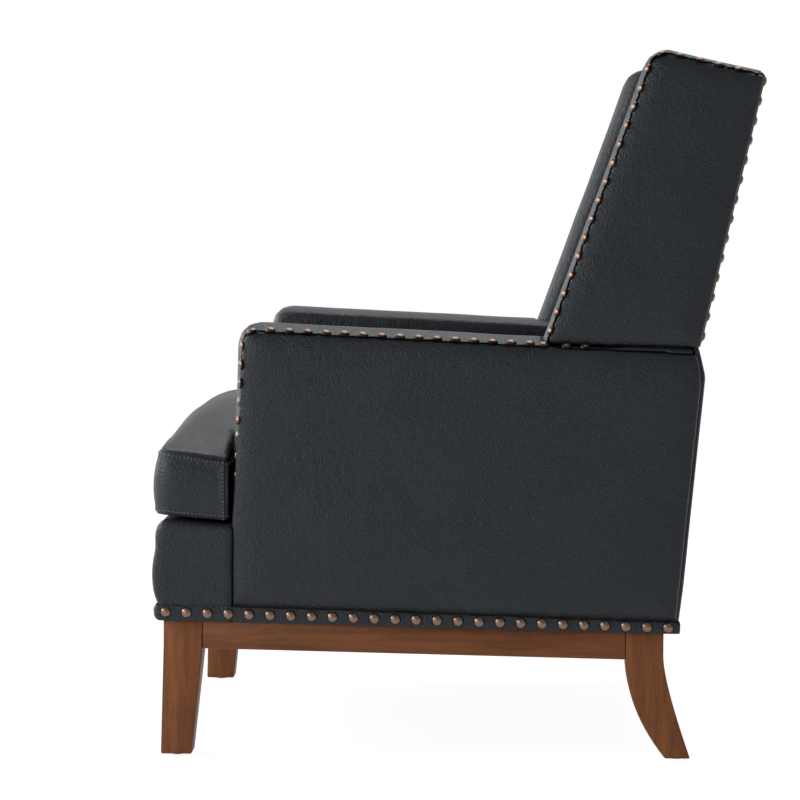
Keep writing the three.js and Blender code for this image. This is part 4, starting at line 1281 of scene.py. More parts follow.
def soft_waves(shape: bmesh.types.BMesh, height: float, length: float, across: Vector | None = None) -> None:
    """Lets a surface rise and fall in slow waves, as hide over foam does.

    Args:
        shape: the padded shape.
        height: the waves' height.
        length: about how long they are.
        across: where given, only faces that look this way are moved.
    """
    shape.normal_update()
    for vert in shape.verts:
        share = 1.0 if across is None else max(vert.normal.dot(across), 0.0)
        vert.co += vert.normal * (height * share * ripple(vert.co, length) * MM)


@dataclass
class SubAssembly:
    """Pieces of the chair that are built together."""

    finishes: Finishes
    lines: ChairLines = LINES

    def build(self) -> None:
        """Builds the pieces."""
        raise NotImplementedError


@dataclass
class ChairBase(SubAssembly):
    """The walnut base: square tapered front legs, sabre rear legs, aprons, corner blocks and glides."""

    inset: float = 10
    edge: float = 2.5
    knee_drop: float = 36
    front_leg: tuple[float, float, float] = (54, 53.2, 16.4)
    front_foot: tuple[float, float, float] = (41, 42, 12.5)
    rear_width: float = 45
    rear_setback: float = 176
    rear_depth: float = 51.4
    sweep: float = 54.5
    rear_foot_depth: float = 34
    bend_start: float = 143
    front_bend: float = 71
    rear_bend: float = 108
    bend_steps: int = 14
    glide_height: float = 3

    @property
    def face_x(self) -> float:
        """Outer face of the legs and side aprons."""
        return self.lines.outer_x - self.inset

    def eased(self, shape: bmesh.types.BMesh, width: float, steps: int = 3) -> None:
        """Eases the edges of a board.

        Args:
            shape: the board.
            width: how far each edge is cut back.
            steps: facets of the rounding.
        """
        bmesh.ops.recalc_face_normals(shape, faces=shape.faces)
        sharp = [edge for edge in shape.edges if edge.calc_face_angle(0.0) > math.radians(30)]
        bmesh.ops.bevel(
            shape, geom=sharp, offset=width * MM, segments=steps, profile=0.5, affect="EDGES",
            material=-1, clamp_overlap=True,
        )

    def front_leg_shape(self) -> bmesh.types.BMesh:
        """A front leg that tapers on its inner and rear faces."""
        width, depth, y0 = self.front_leg
        foot_width, foot_depth, foot_y = self.front_foot
        shape = bmesh.new()
        foot = [(0, 0), (foot_width, 0), (foot_width, foot_depth), (0, foot_depth)]
        head = [(0, 0), (width, 0), (width, depth), (0, depth)]
        ring = [self.lines.place(self.face_x - x, foot_y + y, self.glide_height) for x, y in foot]
        face = shape.faces.new([shape.verts.new(place) for place in ring])
        for drop in (self.knee_drop, 0):
            face = extruded(shape, face)
            higher = [
                self.lines.place(self.face_x - x, y0 + y, self.lines.base_z(y0 + y) - drop) for x, y in head
            ]
            for vert in face.verts:
                corner = min(range(4), key=lambda k: (ring[k] - vert.co).length)
                vert.co = higher[corner]
            ring = higher
        self.eased(shape, self.edge)
        return shape

    def rear_leg_shape(self) -> bmesh.types.BMesh:
        """A rear leg whose foot sweeps back in two bends."""
        y0 = self.lines.body_depth - self.rear_setback
        front = (y0, y0 + self.sweep, self.front_bend)
        rear = (y0 + self.rear_depth, y0 + self.sweep + self.rear_foot_depth, self.rear_bend)
        sides = []
        for head, heel, bend in (front, rear):
            start, end = Vector((head, self.bend_start)), Vector((heel, self.glide_height))
            middle = Vector((head, bend))
            shares = [k / self.bend_steps for k in range(self.bend_steps + 1)]
            curve = [start * (1 - t) ** 2 + middle * 2 * t * (1 - t) + end * t * t for t in shares]
            sides.append([Vector((head, self.lines.base_z(head)))] + curve)
        outline = sides[0] + sides[1][::-1]
        shape = bmesh.new()
        inner_x = self.face_x - self.rear_width
        face = shape.faces.new([shape.verts.new(self.lines.place(inner_x, *point)) for point in outline])
        far = extruded(shape, face)
        bmesh.ops.translate(shape, verts=far.verts[:], vec=Vector((self.rear_width * MM, 0, 0)))
        self.eased(shape, self.edge)
        return shape

    def board_shape(self, node: str) -> bmesh.types.BMesh:
        """A straight board with slightly eased edges."""
        shape = node_copy(node)
        bmesh.ops.dissolve_limit(shape, angle_limit=math.radians(2), verts=shape.verts, edges=shape.edges)
        self.eased(shape, 1.2, 2)
        return shape

    def glide_shape(self, node: str) -> bmesh.types.BMesh:
        """A moulded glide with a rounded edge."""
        low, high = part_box(node)
        middle = (low + high) / 2
        radius = (high.x - low.x) / 2
        profile = [(0.0, 0.0), (0.62, 0.0), (0.86, 0.12), (0.97, 0.4), (1.0, 1.0), (0.0, 1.0)]
        points = [Vector((middle.x + r * radius, middle.y, low.z + z * (high.z - low.z))) for r, z in profile]
        return turned(points, middle, 28)

    def build(self) -> None:
        """Builds the base, and stains its corner blocks."""
        for end, shape in (("front", self.front_leg_shape()), ("rear", self.rear_leg_shape())):
            for side, copy in pair(shape).items():
                node = f"{end}_leg_{side.word}"
                walnut = self.finishes.walnut[Along.UP]
                stands_for(finish_piece(f"{node}_walnut", copy, walnut, Body.CHAIR, 30), "walnut", node)
        boards = {
            "side_apron_left": Along.DEEP, "side_apron_right": Along.DEEP,
            "front_apron": Along.ACROSS, "rear_apron": Along.ACROSS,
        }
        for node, along in boards.items():
            walnut = self.finishes.walnut[along]
            board = finish_piece(f"{node}_board", self.board_shape(node), walnut, Body.CHAIR, 30)
            stands_for(board, "walnut", node)
        for end in ("front", "rear"):
            for side in Side:
                node = f"{end}_glide_{side.word}"
                shape = self.glide_shape(node)
                glide = finish_piece(f"{node}_pad", shape, self.finishes.nylon, Body.CHAIR, 50)
                stands_for(glide, "glide_nylon", node)
                refinish(f"{end}_corner_block_{side.word}", self.finishes.timber[Along.UP])


@dataclass
class SideUpholstery(SubAssembly):
    """An arm or a wing on each side: an outer panel, and a padded cover with nails at its edge."""

    name: str = "side"
    outer_x: float = LINES.outer_x
    panel_thickness: float = 14
    panel_roll: tuple[float, float] = (5, 3)
    panel_sunk: float = 5
    panel_cell: float = 6
    panel_foot: Line | None = None

    def outline(self) -> Profile:
        """The outer panel's outline."""
        raise NotImplementedError

    def strip(self) -> NailedStrip:
        """The nailed edge of the cover, up its front and back along its top."""
        raise NotImplementedError

    def cover_shape(self) -> bmesh.types.BMesh:
        """The padded cover on the sitter's left."""
        raise NotImplementedError

    def panel_shape(self) -> bmesh.types.BMesh:
        """The outer panel, its leather drawn over padding and under at the edges."""
        corners = self.outline()
        shape = slab(
            corners, self.outer_x - self.panel_thickness, self.outer_x - self.panel_sunk, self.panel_roll)
        for axis in (1, 2):
            grid_cut(shape, axis, self.panel_cell)
        PanelPad().apply(shape, side_view(corners), 0, self.panel_foot)
        return shape

    def build(self) -> None:
        """Builds both sides."""
        leather = self.finishes.leather
        for side, shape in pair(self.panel_shape()).items():
            padded_piece(
                f"{self.name}_outer_leather_{side.word}", shape, leather, "leather",
                f"{self.name}_panel_{side.word}")
        for side, shape in pair(self.cover_shape()).items():
            cover = padded_piece(
                f"{self.name}_padded_leather_{side.word}", shape, leather, "leather",
                f"{self.name}_cover_{side.word}", 70)
            if side is Side.LEFT:
                seats = self.strip().seats(surface_of(cover))
            row = across_to(side, seats)
            stands_for(NailRow().build(f"{self.name}_nails_{side.word}", row, self.finishes.brass), "leather")


@dataclass
class ArmUpholstery(SideUpholstery):
    """The arms. Their covers go over the top, front and inside."""

    name: str = "arm"
    panel_foot: Line | None = LINES.band_top_z
    corner_radius: float = 18
    crown: float = 11
    soft: float = 43
    voxel: float = 3.6
    nail_pitch: float = 24.8
    nails_end_y: float = 590
    first_nail: float = 52
    strip_seen: float = 2.8

    def outline(self) -> Profile:
        """The outer panel's outline."""
        lines = self.lines
        rear = moved(lines.lower_rear_y, -self.strip_seen)
        knee = lines.deck_z(lines.arm_foot_y)
        return rounded([
            (*lines.meet(lines.arm_front_y, lines.under_z), 0), (*lines.meet(rear, lines.under_z), 0),
            (rear(lines.roll_height), lines.roll_height, 20), (*lines.meet(rear, lines.arm_top_z), 7),
            (*lines.meet(lines.arm_front_y, lines.arm_top_z), self.corner_radius),
            (lines.arm_front_y(knee), knee, 0),
        ])

    def strip(self) -> NailedStrip:
        """The nailed edge of the arm's cover, up its front and back along its top."""
        lines = self.lines
        foot = lines.deck_z(lines.arm_foot_y) - 60
        path = rounded([
            (lines.arm_front_y(foot), foot, 0),
            (*lines.meet(lines.arm_front_y, lines.arm_top_z), self.corner_radius),
            (lines.body_depth, lines.arm_top_z(lines.body_depth), 0),
        ])
        return NailedStrip(
            path, self.outer_x, self.crown, self.soft, self.first_nail, self.nail_pitch, self.nails_end_y)

    def cover_shape(self) -> bmesh.types.BMesh:
        """The cover, softened, slightly uneven and drawn down to its nails."""
        shape = softened("arm_cover_left", self.voxel, 3)
        self.strip().draw_down(shape)
        soft_waves(shape, 0.9, 70)
        return shape


@dataclass
class WingUpholstery(SideUpholstery):
    """The wings. Their covers turn over softly at the front, and their tops are padded."""

    name: str = "wing"
    outer_x: float = LINES.wing_outer_x
    panel_thickness: float = 12
    crown: float = 6
    soft: float = 23.4
    top_radius: float = 22
    corner_round: float = 34
    top_padding: tuple[float, float] = (6, 1.5)
    inner_round: float = 20
    wrap: float = 4
    voxel: float = 3.4
    nail_pitch: float = 26.5
    first_nail: float = 62
    fade: float = 30

    def padding(self, y: float) -> float:
        """How far the top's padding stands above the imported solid, less towards the rear."""
        front, rear = self.top_padding
        share = (y - self.lines.body_depth + self.lines.wing_top_depth) / self.lines.wing_top_depth
        return front + (rear - front) * min(max(share, 0), 1)

    def top_z(self, y: float) -> float:
        """Top of the wing, padding and all."""
        return self.lines.wing_top_z(y) + self.padding(y)

    def outline(self) -> Profile:
        """The outer panel's outline."""
        lines = self.lines
        rear = moved(lines.rear_y, self.wrap)
        front, top = moved(lines.wing_front_y, self.crown), moved(self.top_z, -self.crown)
        return rounded([
            (*lines.meet(front, lines.wing_bottom_z), 8),
            (*lines.meet(rear, moved(lines.wing_bottom_z, -2)), 4),
            (*lines.meet(rear, top), 5), (*lines.meet(front, top), self.top_radius),
        ])

    def strip(self) -> NailedStrip:
        """The nailed edge of the wing's cover, up its front and back along its top."""
        lines = self.lines
        front, top = moved(lines.wing_front_y, self.crown), moved(self.top_z, -self.crown)
        low = lines.wing_foot_height - 40
        path = rounded([
            (front(low), low, 0), (*lines.meet(front, top), self.top_radius),
            (lines.body_depth + 20, top(lines.body_depth + 20), 0),
        ])
        return NailedStrip(
            path, self.outer_x, self.crown, self.soft, self.first_nail, self.nail_pitch,
            lines.body_depth - 10, top_lift=-1.4, front_lift=-2.0, pleat=0.8, flat=0.32, pucker=0.35)

    def pad_top(self, shape: bmesh.types.BMesh) -> None:
        """Raises the wing's top, and rounds its upper front corner."""
        lines = self.lines
        down = Vector((-lines.slope(lines.wing_rake), -1)).normalized()
        back = Vector((1, -lines.slope(lines.crest_fall))).normalized()
        corner = Vector(lines.meet(lines.wing_front_y, self.top_z))
        hub = corner + (down + back).normalized() * (self.corner_round / math.sin(down.angle(back) / 2))
        for vert in shape.verts:
            _, y, z = lines.measure(vert.co)
            z += self.padding(y) * fading(lines.wing_top_z(y) - z, self.fade)
            arm = Vector((y, z)) - hub
            if arm.length > self.corner_round and arm.dot(down) < 0 and arm.dot(back) < 0:
                y, z = hub + arm * (self.corner_round / arm.length)
            vert.co.y, vert.co.z = (y - lines.body_depth / 2) * MM, z * MM

    def round_inner_edge(self, shape: bmesh.types.BMesh) -> None:
        """Turns the wing's front over towards the sitter in a broad soft curve."""
        middle = self.outer_x - self.lines.wing_width / 2
        for vert in shape.verts:
            x, y, z = self.lines.measure(vert.co)
            inwards = min(max((middle - x) / (self.lines.wing_width / 2), 0.0), 1.0)
            behind = fading(y - self.lines.wing_front_y(z), self.fade)
            back = self.inner_round * (1 - math.sqrt(1 - inwards ** 2)) * behind
            vert.co.y += back * MM

    def cover_shape(self) -> bmesh.types.BMesh:
        """The padded cover."""
        shape = softened("wing_cover_left", self.voxel, 3)
        ease_back(shape)
        self.pad_top(shape)
        self.strip().draw_down(shape)
        self.round_inner_edge(shape)
        soft_waves(shape, 0.8, 60)
        return shape


@dataclass
class BackUpholstery(SubAssembly):
    """The inside back's padding, the outside back with nails down its sides, and the lower rear panel."""

    voxel: float = 5
    nail_pitch: float = 27
    nail_inset: float = 8
    nails_sunk: float = 1.8
    wing_panel_depth: float = 12
    arm_panel_depth: float = 14
    lower_padding: float = 1.8
    settled: float = 60
    cell: float = 9
    pad: PanelPad = field(default_factory=lambda: PanelPad((1.0, 6.0), (3.0, 45.0), 1.6))

    def rear_panel(self, node: str, half_width: float, proud: float, settled: float) -> bmesh.types.BMesh:
        """A rear panel, padded, between the side panels that lap its edges.

        Args:
            node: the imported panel.
            half_width: half its width.
            proud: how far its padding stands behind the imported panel.
            settled: how far up it lies flat, under the trim band.

        Returns:
            The panel.
        """
        low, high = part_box(node)
        shape = node_copy(node)
        bmesh.ops.scale(shape, vec=(half_width * MM / high.x, 1, 1), verts=shape.verts)
        for axis in (0, 2):
            grid_cut(shape, axis, self.cell)
        for vert in shape.verts:
            share = min((vert.co.z - low.z) / MM / settled, 1) if settled else 1
            vert.co.y += proud * share * MM
        edge = half_width * MM
        self.pad.apply(shape, [(-edge, low.z), (edge, low.z), (edge, high.z), (-edge, high.z)], 1)
        return shape

    def build(self) -> None:
        """Builds the back."""
        lines = self.lines
        leather = self.finishes.leather
        inside = softened("inside_back", self.voxel, 3)
        soft_waves(inside, 1.6, 110, Vector((0, -1, 0)))
        ease_back(inside)
        padded_piece("inside_back_padding", inside, leather, "leather", "inside_back", 70)
        width = lines.wing_outer_x - self.wing_panel_depth - lines.gap
        outside = self.rear_panel("outside_back_panel", width, lines.rear_padding, 0)
        panel = padded_piece("outside_back_leather", outside, leather, "leather", "outside_back_panel")
        low_width = lines.outer_x - self.arm_panel_depth - lines.gap
        lower = self.rear_panel("lower_back_panel", low_width, self.lower_padding, self.settled)
        padded_piece("lower_back_leather", lower, leather, "leather", "lower_back_panel")
        skin = surface_of(panel)
        look = Vector((0.12, 1, -lines.slope(lines.back_rake))).normalized()
        ends = [
            lines.place(width - self.nail_inset, lines.rear_y(z) + lines.rear_padding, z)
            for z in (lines.split_height + 14, lines.wing_top_z(lines.body_depth) - 12)
        ]
        sunk = look * (self.nails_sunk * MM)
        seats = [(skin.find_nearest(point)[0] - sunk, look) for point, _ in spaced(ends, self.nail_pitch)]
        both = [seat for side in Side for seat in across_to(side, seats)]
        stands_for(NailRow().build("outside_back_nails", both, self.finishes.brass), "leather")


@dataclass
class SeatBorder(SubAssembly):
    """The padded front border, and the nailed trim band round the foot of the body."""

    voxel: float = 3.8
    foot_y: float = 7
    tuck: float = 3
    front_tuck: float = 3
    lap: float = 2
    radius: float = 3
    first_nail_y: float = 21
    nail_pitch: float = 28.1
    nail_share: float = 0.55
    front_nails_sunk: float = 2.2
    proud: float = 2.9
    notch_depth: float = 3.2
    step: float = 4

    def plan(self, proud: float) -> list[tuple[float, float]]:
        """Points round the body's foot, seen from above.

        Args:
            proud: how far outside the covers they lie.

        Returns:
            Their sides and depths, counter-clockwise from the right side's front.
        """
        lines = self.lines
        rear = lines.lower_rear_y(lines.band_top_z(lines.body_depth - 100))
        x1, y0, y1 = lines.outer_x + proud, self.foot_y - proud, rear + proud
        radius = self.radius + proud
        hubs = [(x1 - radius, y0 + radius, -90), (x1 - radius, y1 - radius, 0),
                (radius - x1, y1 - radius, 90), (radius - x1, y0 + radius, 180)]
        corners = []
        for x, y, start in hubs:
            for turn in np.radians(np.linspace(start, start + 90, 6)):
                corners.append((x + radius * math.cos(turn), y + radius * math.sin(turn)))
        points = []
        for a, b in zip(corners, corners[1:] + corners[:1]):
            count = max(round(math.dist(a, b) / self.step), 1)
            step = (b[0] - a[0]) / count, (b[1] - a[1]) / count
            points += [(a[0] + step[0] * k, a[1] + step[1] * k) for k in range(count)]
        return points

    def tuck_in(self, shape: bmesh.types.BMesh) -> None:
        """Draws the border's foot in under the band, and laps its ends against the arms."""
        shape.normal_update()
        for vert in shape.verts:
            _, y, z = self.lines.measure(vert.co)
            foot = self.tuck * fading(z - self.lines.band_top_z(y), 7)
            end = self.lap * fading(self.lines.arm_foot_y - y, 6)
            vert.co.y += (foot * max(-vert.normal.y, 0) + end) * MM

    def nail_seats(self) -> list[tuple[Vector, Vector]]:
        """Where the band's nails sit along its sides and front, and which way they look."""
        lines = self.lines

        def height(y: float) -> float:
            """Height of a nail's middle."""
            return lines.under_z(y) + self.nail_share * (lines.band_top_z(y) - lines.under_z(y))

        face = lines.outer_x + self.proud
        rear = lines.lower_rear_y(lines.band_top_z(lines.body_depth))
        count = int((rear - 12 - self.first_nail_y) / self.nail_pitch) + 1
        depths = [self.first_nail_y + k * self.nail_pitch for k in range(count)]
        row = [(lines.place(face, y, height(y)), Vector((1, 0, 0))) for y in depths]
        seats = [seat for side in Side for seat in across_to(side, row)]
        y = self.foot_y - self.proud + self.front_nails_sunk
        ends = [lines.place(x, y, height(y)) for x in (20 - lines.outer_x, lines.outer_x - 20)]
        return seats + [(place, Vector((0, -1, 0))) for place, _ in spaced(ends, self.nail_pitch)]

    def band_shape(self) -> bmesh.types.BMesh:
        """The band: a folded strip of leather whose edges wander a little."""
        profile = [(0.4, 0.03), (1.9, 0.0), (2.6, 0.1), (self.proud, 0.3),
                   (self.proud, 0.7), (2.6, 0.9), (1.9, 1.0), (0.4, 0.97)]
        plan = self.plan(0)
        normals = outward(plan)
        shape = bmesh.new()

        def level(proud: float, share: float) -> list[Vector]:
            """Places of one ring of the band."""
            ring = []
            for (x, y), out in zip(plan, normals):
                low, high = self.lines.under_z(y), self.lines.band_top_z(y)
                notch = self.notch_depth * bell(y - self.lines.arm_foot_y, 3) * (share < 0.5)
                z = low + notch + share * (high - low)
                place = self.lines.place(x + out.x * proud, y + out.y * proud, z)
                place.z += (1.1 * ripple(place, 38) * (0.35 + share)) * MM
                corner = bell(abs(x) - self.lines.outer_x, 14) * bell(y - self.foot_y, 14)
                swell = (0.5 * ripple(place, 16) + corner * (0.8 + 1.6 * ripple(place, 7))) * (proud > 1)
                place += Vector((out.x, out.y, 0)) * (swell * MM)
                tucked = self.front_tuck * (2 * share - 1.2) ** 2
                place.y += tucked * bell(y - self.foot_y, 10) * MM
                ring.append(place)
            return ring

        first = [shape.verts.new(place) for place in level(*profile[0])]
        edges = [shape.edges.new((a, b)) for a, b in zip(first, first[1:] + first[:1])]
        ring, start = first, edges
        for proud, share in profile[1:]:
            made = bmesh.ops.extrude_edge_only(shape, edges=edges)["geom"]
            fresh = [item for item in made if isinstance(item, bmesh.types.BMVert)]
            edges = [item for item in made if isinstance(item, bmesh.types.BMEdge)]
            below = {vert: vert.link_edges[:] for vert in fresh}
            number = {vert: k for k, vert in enumerate(ring)}
            order: list[bmesh.types.BMVert] = [fresh[0]] * len(ring)
            for vert, links in below.items():
                for edge in links:
                    other = edge.other_vert(vert)
                    if other in number:
                        order[number[other]] = vert
            ring = order
            for vert, place in zip(ring, level(proud, share)):
                vert.co = place
        bmesh.ops.bridge_loops(shape, edges=start + edges)
        bmesh.ops.recalc_face_normals(shape, faces=shape.faces)
        return shape

    def build(self) -> None:
        """Builds the border and the band."""
        leather, brass = self.finishes.leather, self.finishes.brass
        front = softened("front_border", self.voxel, 2)
        self.tuck_in(front)
        soft_waves(front, 1.2, 80)
        padded_piece("front_border_padding", front, leather, "leather", "front_border", 70)
        band = finish_piece("trim_band_leather", self.band_shape(), leather, Body.CHAIR, 60)
        stands_for(band, "leather", "trim_band")
        stands_for(NailRow(diameter=15.2).build("base_nails", self.nail_seats(), brass), "leather")


@dataclass
class SeatCushion(SubAssembly):
    """The loose T-shaped cushion: boxed, crowned, stuffed with foam, and zipped along its rear."""

    front_y: float = 3
    ear_rear_y: float = 104.5
    ear_rear_radius: float = 6
    ear_x: float = 352
    side_x: float = 259
    rear_y: float = 527
    corner_radius: float = 26
    inner_radius: float = 8
    boxing: float = 86.5
    settled: float = 6
    crown: float = 63
    belly: float = 4.5
    bulge: float = 5
    lean: float = 6
    front_roll: tuple[float, float] = (80, 1.6)
    side_roll: tuple[float, float] = (260, 1.4)
    rear_roll: tuple[float, float] = (60, 2.0)
    notch_roll: tuple[float, float, float] = (24, 5, 2.0)
    foam_split_x: float = 256
    voxel: float = 7
    pressure: float = 4.0
    cap: float = 7.0
    ease: float = 12.0
    stitched: float = 5
    zip_pitch: float = 3.2
    zip_tooth: tuple[float, float, float] = (2.1, 1.6, 2.9)

    def plan(self) -> list[tuple[float, float]]:
        """The seams' outline seen from above, with rounded corners."""
        right = [
            (self.ear_x, self.front_y, self.corner_radius),
            (self.ear_x, self.ear_rear_y, self.ear_rear_radius),
            (self.side_x, self.ear_rear_y, self.inner_radius),
            (self.side_x, self.rear_y, self.corner_radius),
        ]
        ring = right + [(-x, y, radius) for x, y, radius in right[::-1]]
        return rounded(ring)

    def low_seam_z(self, y: np.ndarray | float) -> np.ndarray | float:
        """Height of the lower seam."""
        return self.lines.deck_z(y) + self.lines.gap + self.belly

    def boxing_at(self, y: np.ndarray | float) -> np.ndarray | float:
        """Height from seam to seam, less towards the arms, where the cushion is squeezed."""
        share = (y - self.front_y) / (self.ear_rear_y - self.front_y)
        return self.boxing - self.settled * np.clip(share, 0, 1)

    def set_back(self, y: float) -> float:
        """How far behind the lower seam the upper one runs, at the front."""
        return self.lean * fading(y - self.front_y, 30)

    def press(self, shape: bmesh.types.BMesh) -> None:
        """Flattens the cushion where the arms' fronts and inner faces hold it."""
        lines = self.lines
        for vert in shape.verts:
            x, y = abs(vert.co.x) / MM, vert.co.y / MM + lines.body_depth / 2
            if x > lines.arm_inner_x and y > self.ear_rear_y:
                vert.co.y = (self.ear_rear_y - lines.body_depth / 2) * MM
            elif y > self.ear_rear_y and x > lines.arm_inner_x - lines.gap:
                vert.co.x = math.copysign((lines.arm_inner_x - lines.gap) * MM, vert.co.x)

    def swell(self, x: np.ndarray, y: np.ndarray) -> np.ndarray:
        """Share of the crown that the top reaches.

        Args:
            x: distances from the chair's middle.
            y: depths.

        Returns:
            From 0 at the seams to 1 in the middle.
        """
        def roll(distance: np.ndarray, sizes: tuple[float, float]) -> np.ndarray:
            """How the top rolls up from one seam."""
            reach, power = sizes
            return (1 - (1 - np.clip(distance / reach, 0, 1)) ** power) ** (1 / power)

        x = np.abs(x)
        across, deep, power = self.notch_roll
        beside = np.clip(self.side_x - x, 0, None) / across
        notch = np.hypot(beside, np.clip(self.ear_rear_y - y, 0, None) / deep)
        return (
            roll(y - self.front_y, self.front_roll) * roll(self.ear_x - x, self.side_roll)
            * roll(self.rear_y - y, self.rear_roll) * roll(notch, (1.0, power))
        )

    def form(self, shrink: float) -> bmesh.types.BMesh:
        """The cushion's shape, or one that fits inside it.

        Args:
            shrink: how far inside every face lies.

        Returns:
            The closed, evenly divided shape.
        """
        plan = self.plan()
        shape = bmesh.new()
        face = shape.faces.new([shape.verts.new(self.lines.place(x, y, 0)) for x, y in plan])
        far = extruded(shape, face)
        bmesh.ops.translate(shape, verts=far.verts[:], vec=(0, 0, self.boxing * MM))
        bmesh.ops.recalc_face_normals(shape, faces=shape.faces)
        shape = remeshed(shape, self.voxel, 1)
        points = np.array([vert.co[:] for vert in shape.verts]) / MM
        depth = points[:, 1] + self.lines.body_depth / 2
        outline = np.array([[x, y - self.lines.body_depth / 2] for x, y in plan])
        inside = outline_distance(points[:, :2], outline)
        rise = self.swell(points[:, 0], depth)
        share = np.clip(points[:, 2] / self.boxing, 0, 1)
        blend = share ** 2 * (3 - 2 * share)
        height = self.low_seam_z(depth) + self.boxing_at(depth) * share
        height += rise * (self.crown * blend - self.belly * (1 - blend))
        for vert, y, z, h in zip(shape.verts, depth, height, share):
            vert.co.y += self.set_back(y) * h * h * MM
            vert.co.z = z * MM
        crowned = [vert for vert, h, d in zip(shape.verts, share, inside) if h > 0.9 and d > 9]
        for _ in range(3):
            bmesh.ops.smooth_vert(
                shape, verts=crowned, factor=0.5, use_axis_x=False, use_axis_y=False, use_axis_z=True)
        shape.normal_update()
        for vert, h, d in zip(shape.verts, share, inside):
            swell = self.bulge * 4 * h * (1 - h) if d < 6 else 0.0
            vert.co += vert.normal * ((swell - shrink) * MM)
        return shape

    def seam(self, top: bool, inset: float = 0.0, drop: float = 0.0) -> list[Vector]:
        """A line that runs round the cushion beside a seam.

        Args:
            top: whether it follows the upper seam.
            inset: how far inside the seams it runs.
            drop: how far below the seam.

        Returns:
            The line's points, the first of them again at its end.
        """
        plan = self.plan()
        line = []
        for (x, y), out in zip(plan, outward(plan)):
            z = self.low_seam_z(y) + top * self.boxing_at(y) - drop
            y += top * self.set_back(y)
            line.append(self.lines.place(x - out.x * inset, y - out.y * inset, z))
        return line + line[:1]

    def corner_seams(self) -> list[list[Vector]]:
        """The upright seams where the boxing's strips join, at the ears' rear corners."""
        x, y = self.ear_x - 0.5, self.ear_rear_y - 3
        low, high = self.low_seam_z(y), self.boxing_at(y)
        points = [(x + self.bulge * 4 * t * (1 - t), low + t * high) for t in (k / 8 for k in range(9))]
        return [[self.lines.place(side.value * out, y, z) for out, z in points] for side in Side]

    def held(self, points: np.ndarray) -> np.ndarray:
        """Which points of the cover the seams hold.

        Args:
            points: the cover's points in millimetres, one to a row.

        Returns:
            True where a point is held.
        """
        depth = points[:, 1] + self.lines.body_depth / 2
        low = self.low_seam_z(depth)
        near = np.minimum(np.abs(points[:, 2] - low), np.abs(points[:, 2] - low - self.boxing_at(depth)))
        outline = np.array([[x, y - self.lines.body_depth / 2] for x, y in self.plan()])
        return (near < 5) & (outline_distance(points[:, :2], outline) < 8)

    def zipper(self, skin: BVHTree) -> None:
        """Builds the zip: two rows of teeth in the rear boxing, a slider and a pull.

        Args:
            skin: the cover's surface.
        """
        low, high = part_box("cushion_zip")
        middle = (low + high) / 2
        teeth = bmesh.new()
        pitch = self.zip_pitch * MM
        tooth = Matrix.Diagonal((*(Vector(self.zip_tooth) * MM), 1))
        for k in range(int((high.x - low.x) / pitch)):
            row = (0.9 if k % 2 else -0.9) * MM
            spot = skin.find_nearest(Vector((low.x + (k + 0.5) * pitch, middle.y, middle.z + row)))[0]
            matrix = Matrix.Translation(spot + Vector((0, 0.5 * MM, 0))) @ tooth
            bmesh.ops.create_cube(teeth, size=1.0, matrix=matrix)
        spot = skin.find_nearest(Vector((high.x - 12 * MM, middle.y, middle.z)))[0]
        for offset, size in (((0, 1.6, 0), (11, 3.4, 7)), ((-10, 3.0, -1), (17, 1.4, 5))):
            block = Matrix.Diagonal((*(Vector(size) * MM), 1))
            place = Matrix.Translation(spot + Vector(offset) * MM) @ block
            made = bmesh.ops.create_cube(teeth, size=1.0, matrix=place)["verts"]
            edges = list({edge for vert in made for edge in vert.link_edges})
            bmesh.ops.bevel(
                teeth, geom=edges, offset=0.6 * MM, segments=2, profile=0.5, affect="EDGES", material=-1)
        piece = finish_piece("cushion_zip_teeth", teeth, self.finishes.zip_metal, Body.CUSHION, 30)
        stands_for(piece, "zip_brass", "cushion_zip")

    def build(self) -> None:
        """Builds the cushion, its filling and its zip."""
        shape = inflated(self.form(1.0), self.pressure, self.cap, self.held)
        self.press(shape)
        bmesh.ops.subdivide_edges(shape, edges=shape.edges, cuts=1, use_grid_fill=True, smooth=0.4)
        seams = [self.seam(True, inset=1.2, drop=0.6), self.seam(False, inset=0.3, drop=-0.3)]
        sewn(shape, seams + self.corner_seams(), 2.4, self.voxel / 2)
        cover = padded_piece(
            "seat_cushion_leather", shape, self.finishes.leather, "leather", "cushion_cover", 70,
            Body.CUSHION)
        skin = surface_of(cover)
        beside = self.stitched
        rows = [
            self.seam(True, drop=beside), self.seam(True, inset=beside, drop=-3),
            self.seam(False, drop=-beside),
        ]
        rows += [[point + Vector((0, -4 * MM, 0)) for point in line] for line in self.corner_seams()]
        thread = Stitching().build("seat_cushion_stitches", rows, skin, self.finishes.thread, Body.CUSHION)
        stands_for(thread, "leather")
        self.zipper(skin)
        self.filling()

    def filling(self) -> None:
        """Cuts the foam filling into its core and its two glued ears."""
        whole = self.form(self.ease)
        gap = self.lines.gap
        split, wide = self.foam_split_x, self.lines.outer_x
        for node, left, right in (
            ("cushion_core", -split, split), ("cushion_ear_left", split + gap, wide),
            ("cushion_ear_right", -wide, -split - gap),
        ):
            part = whole.copy()
            for x, way in ((left, -1), (right, 1)):
                bmesh.ops.bisect_plane(
                    part, geom=part.verts[:] + part.edges[:] + part.faces[:], dist=1e-6,
                    plane_co=(x * MM, 0, 0), plane_no=(way, 0, 0), clear_outer=True,
                )
                cap_rims(part)
            padded_piece(f"{node}_foam", part, self.finishes.foam, "foam", node, body=Body.CUSHION)
        whole.free()


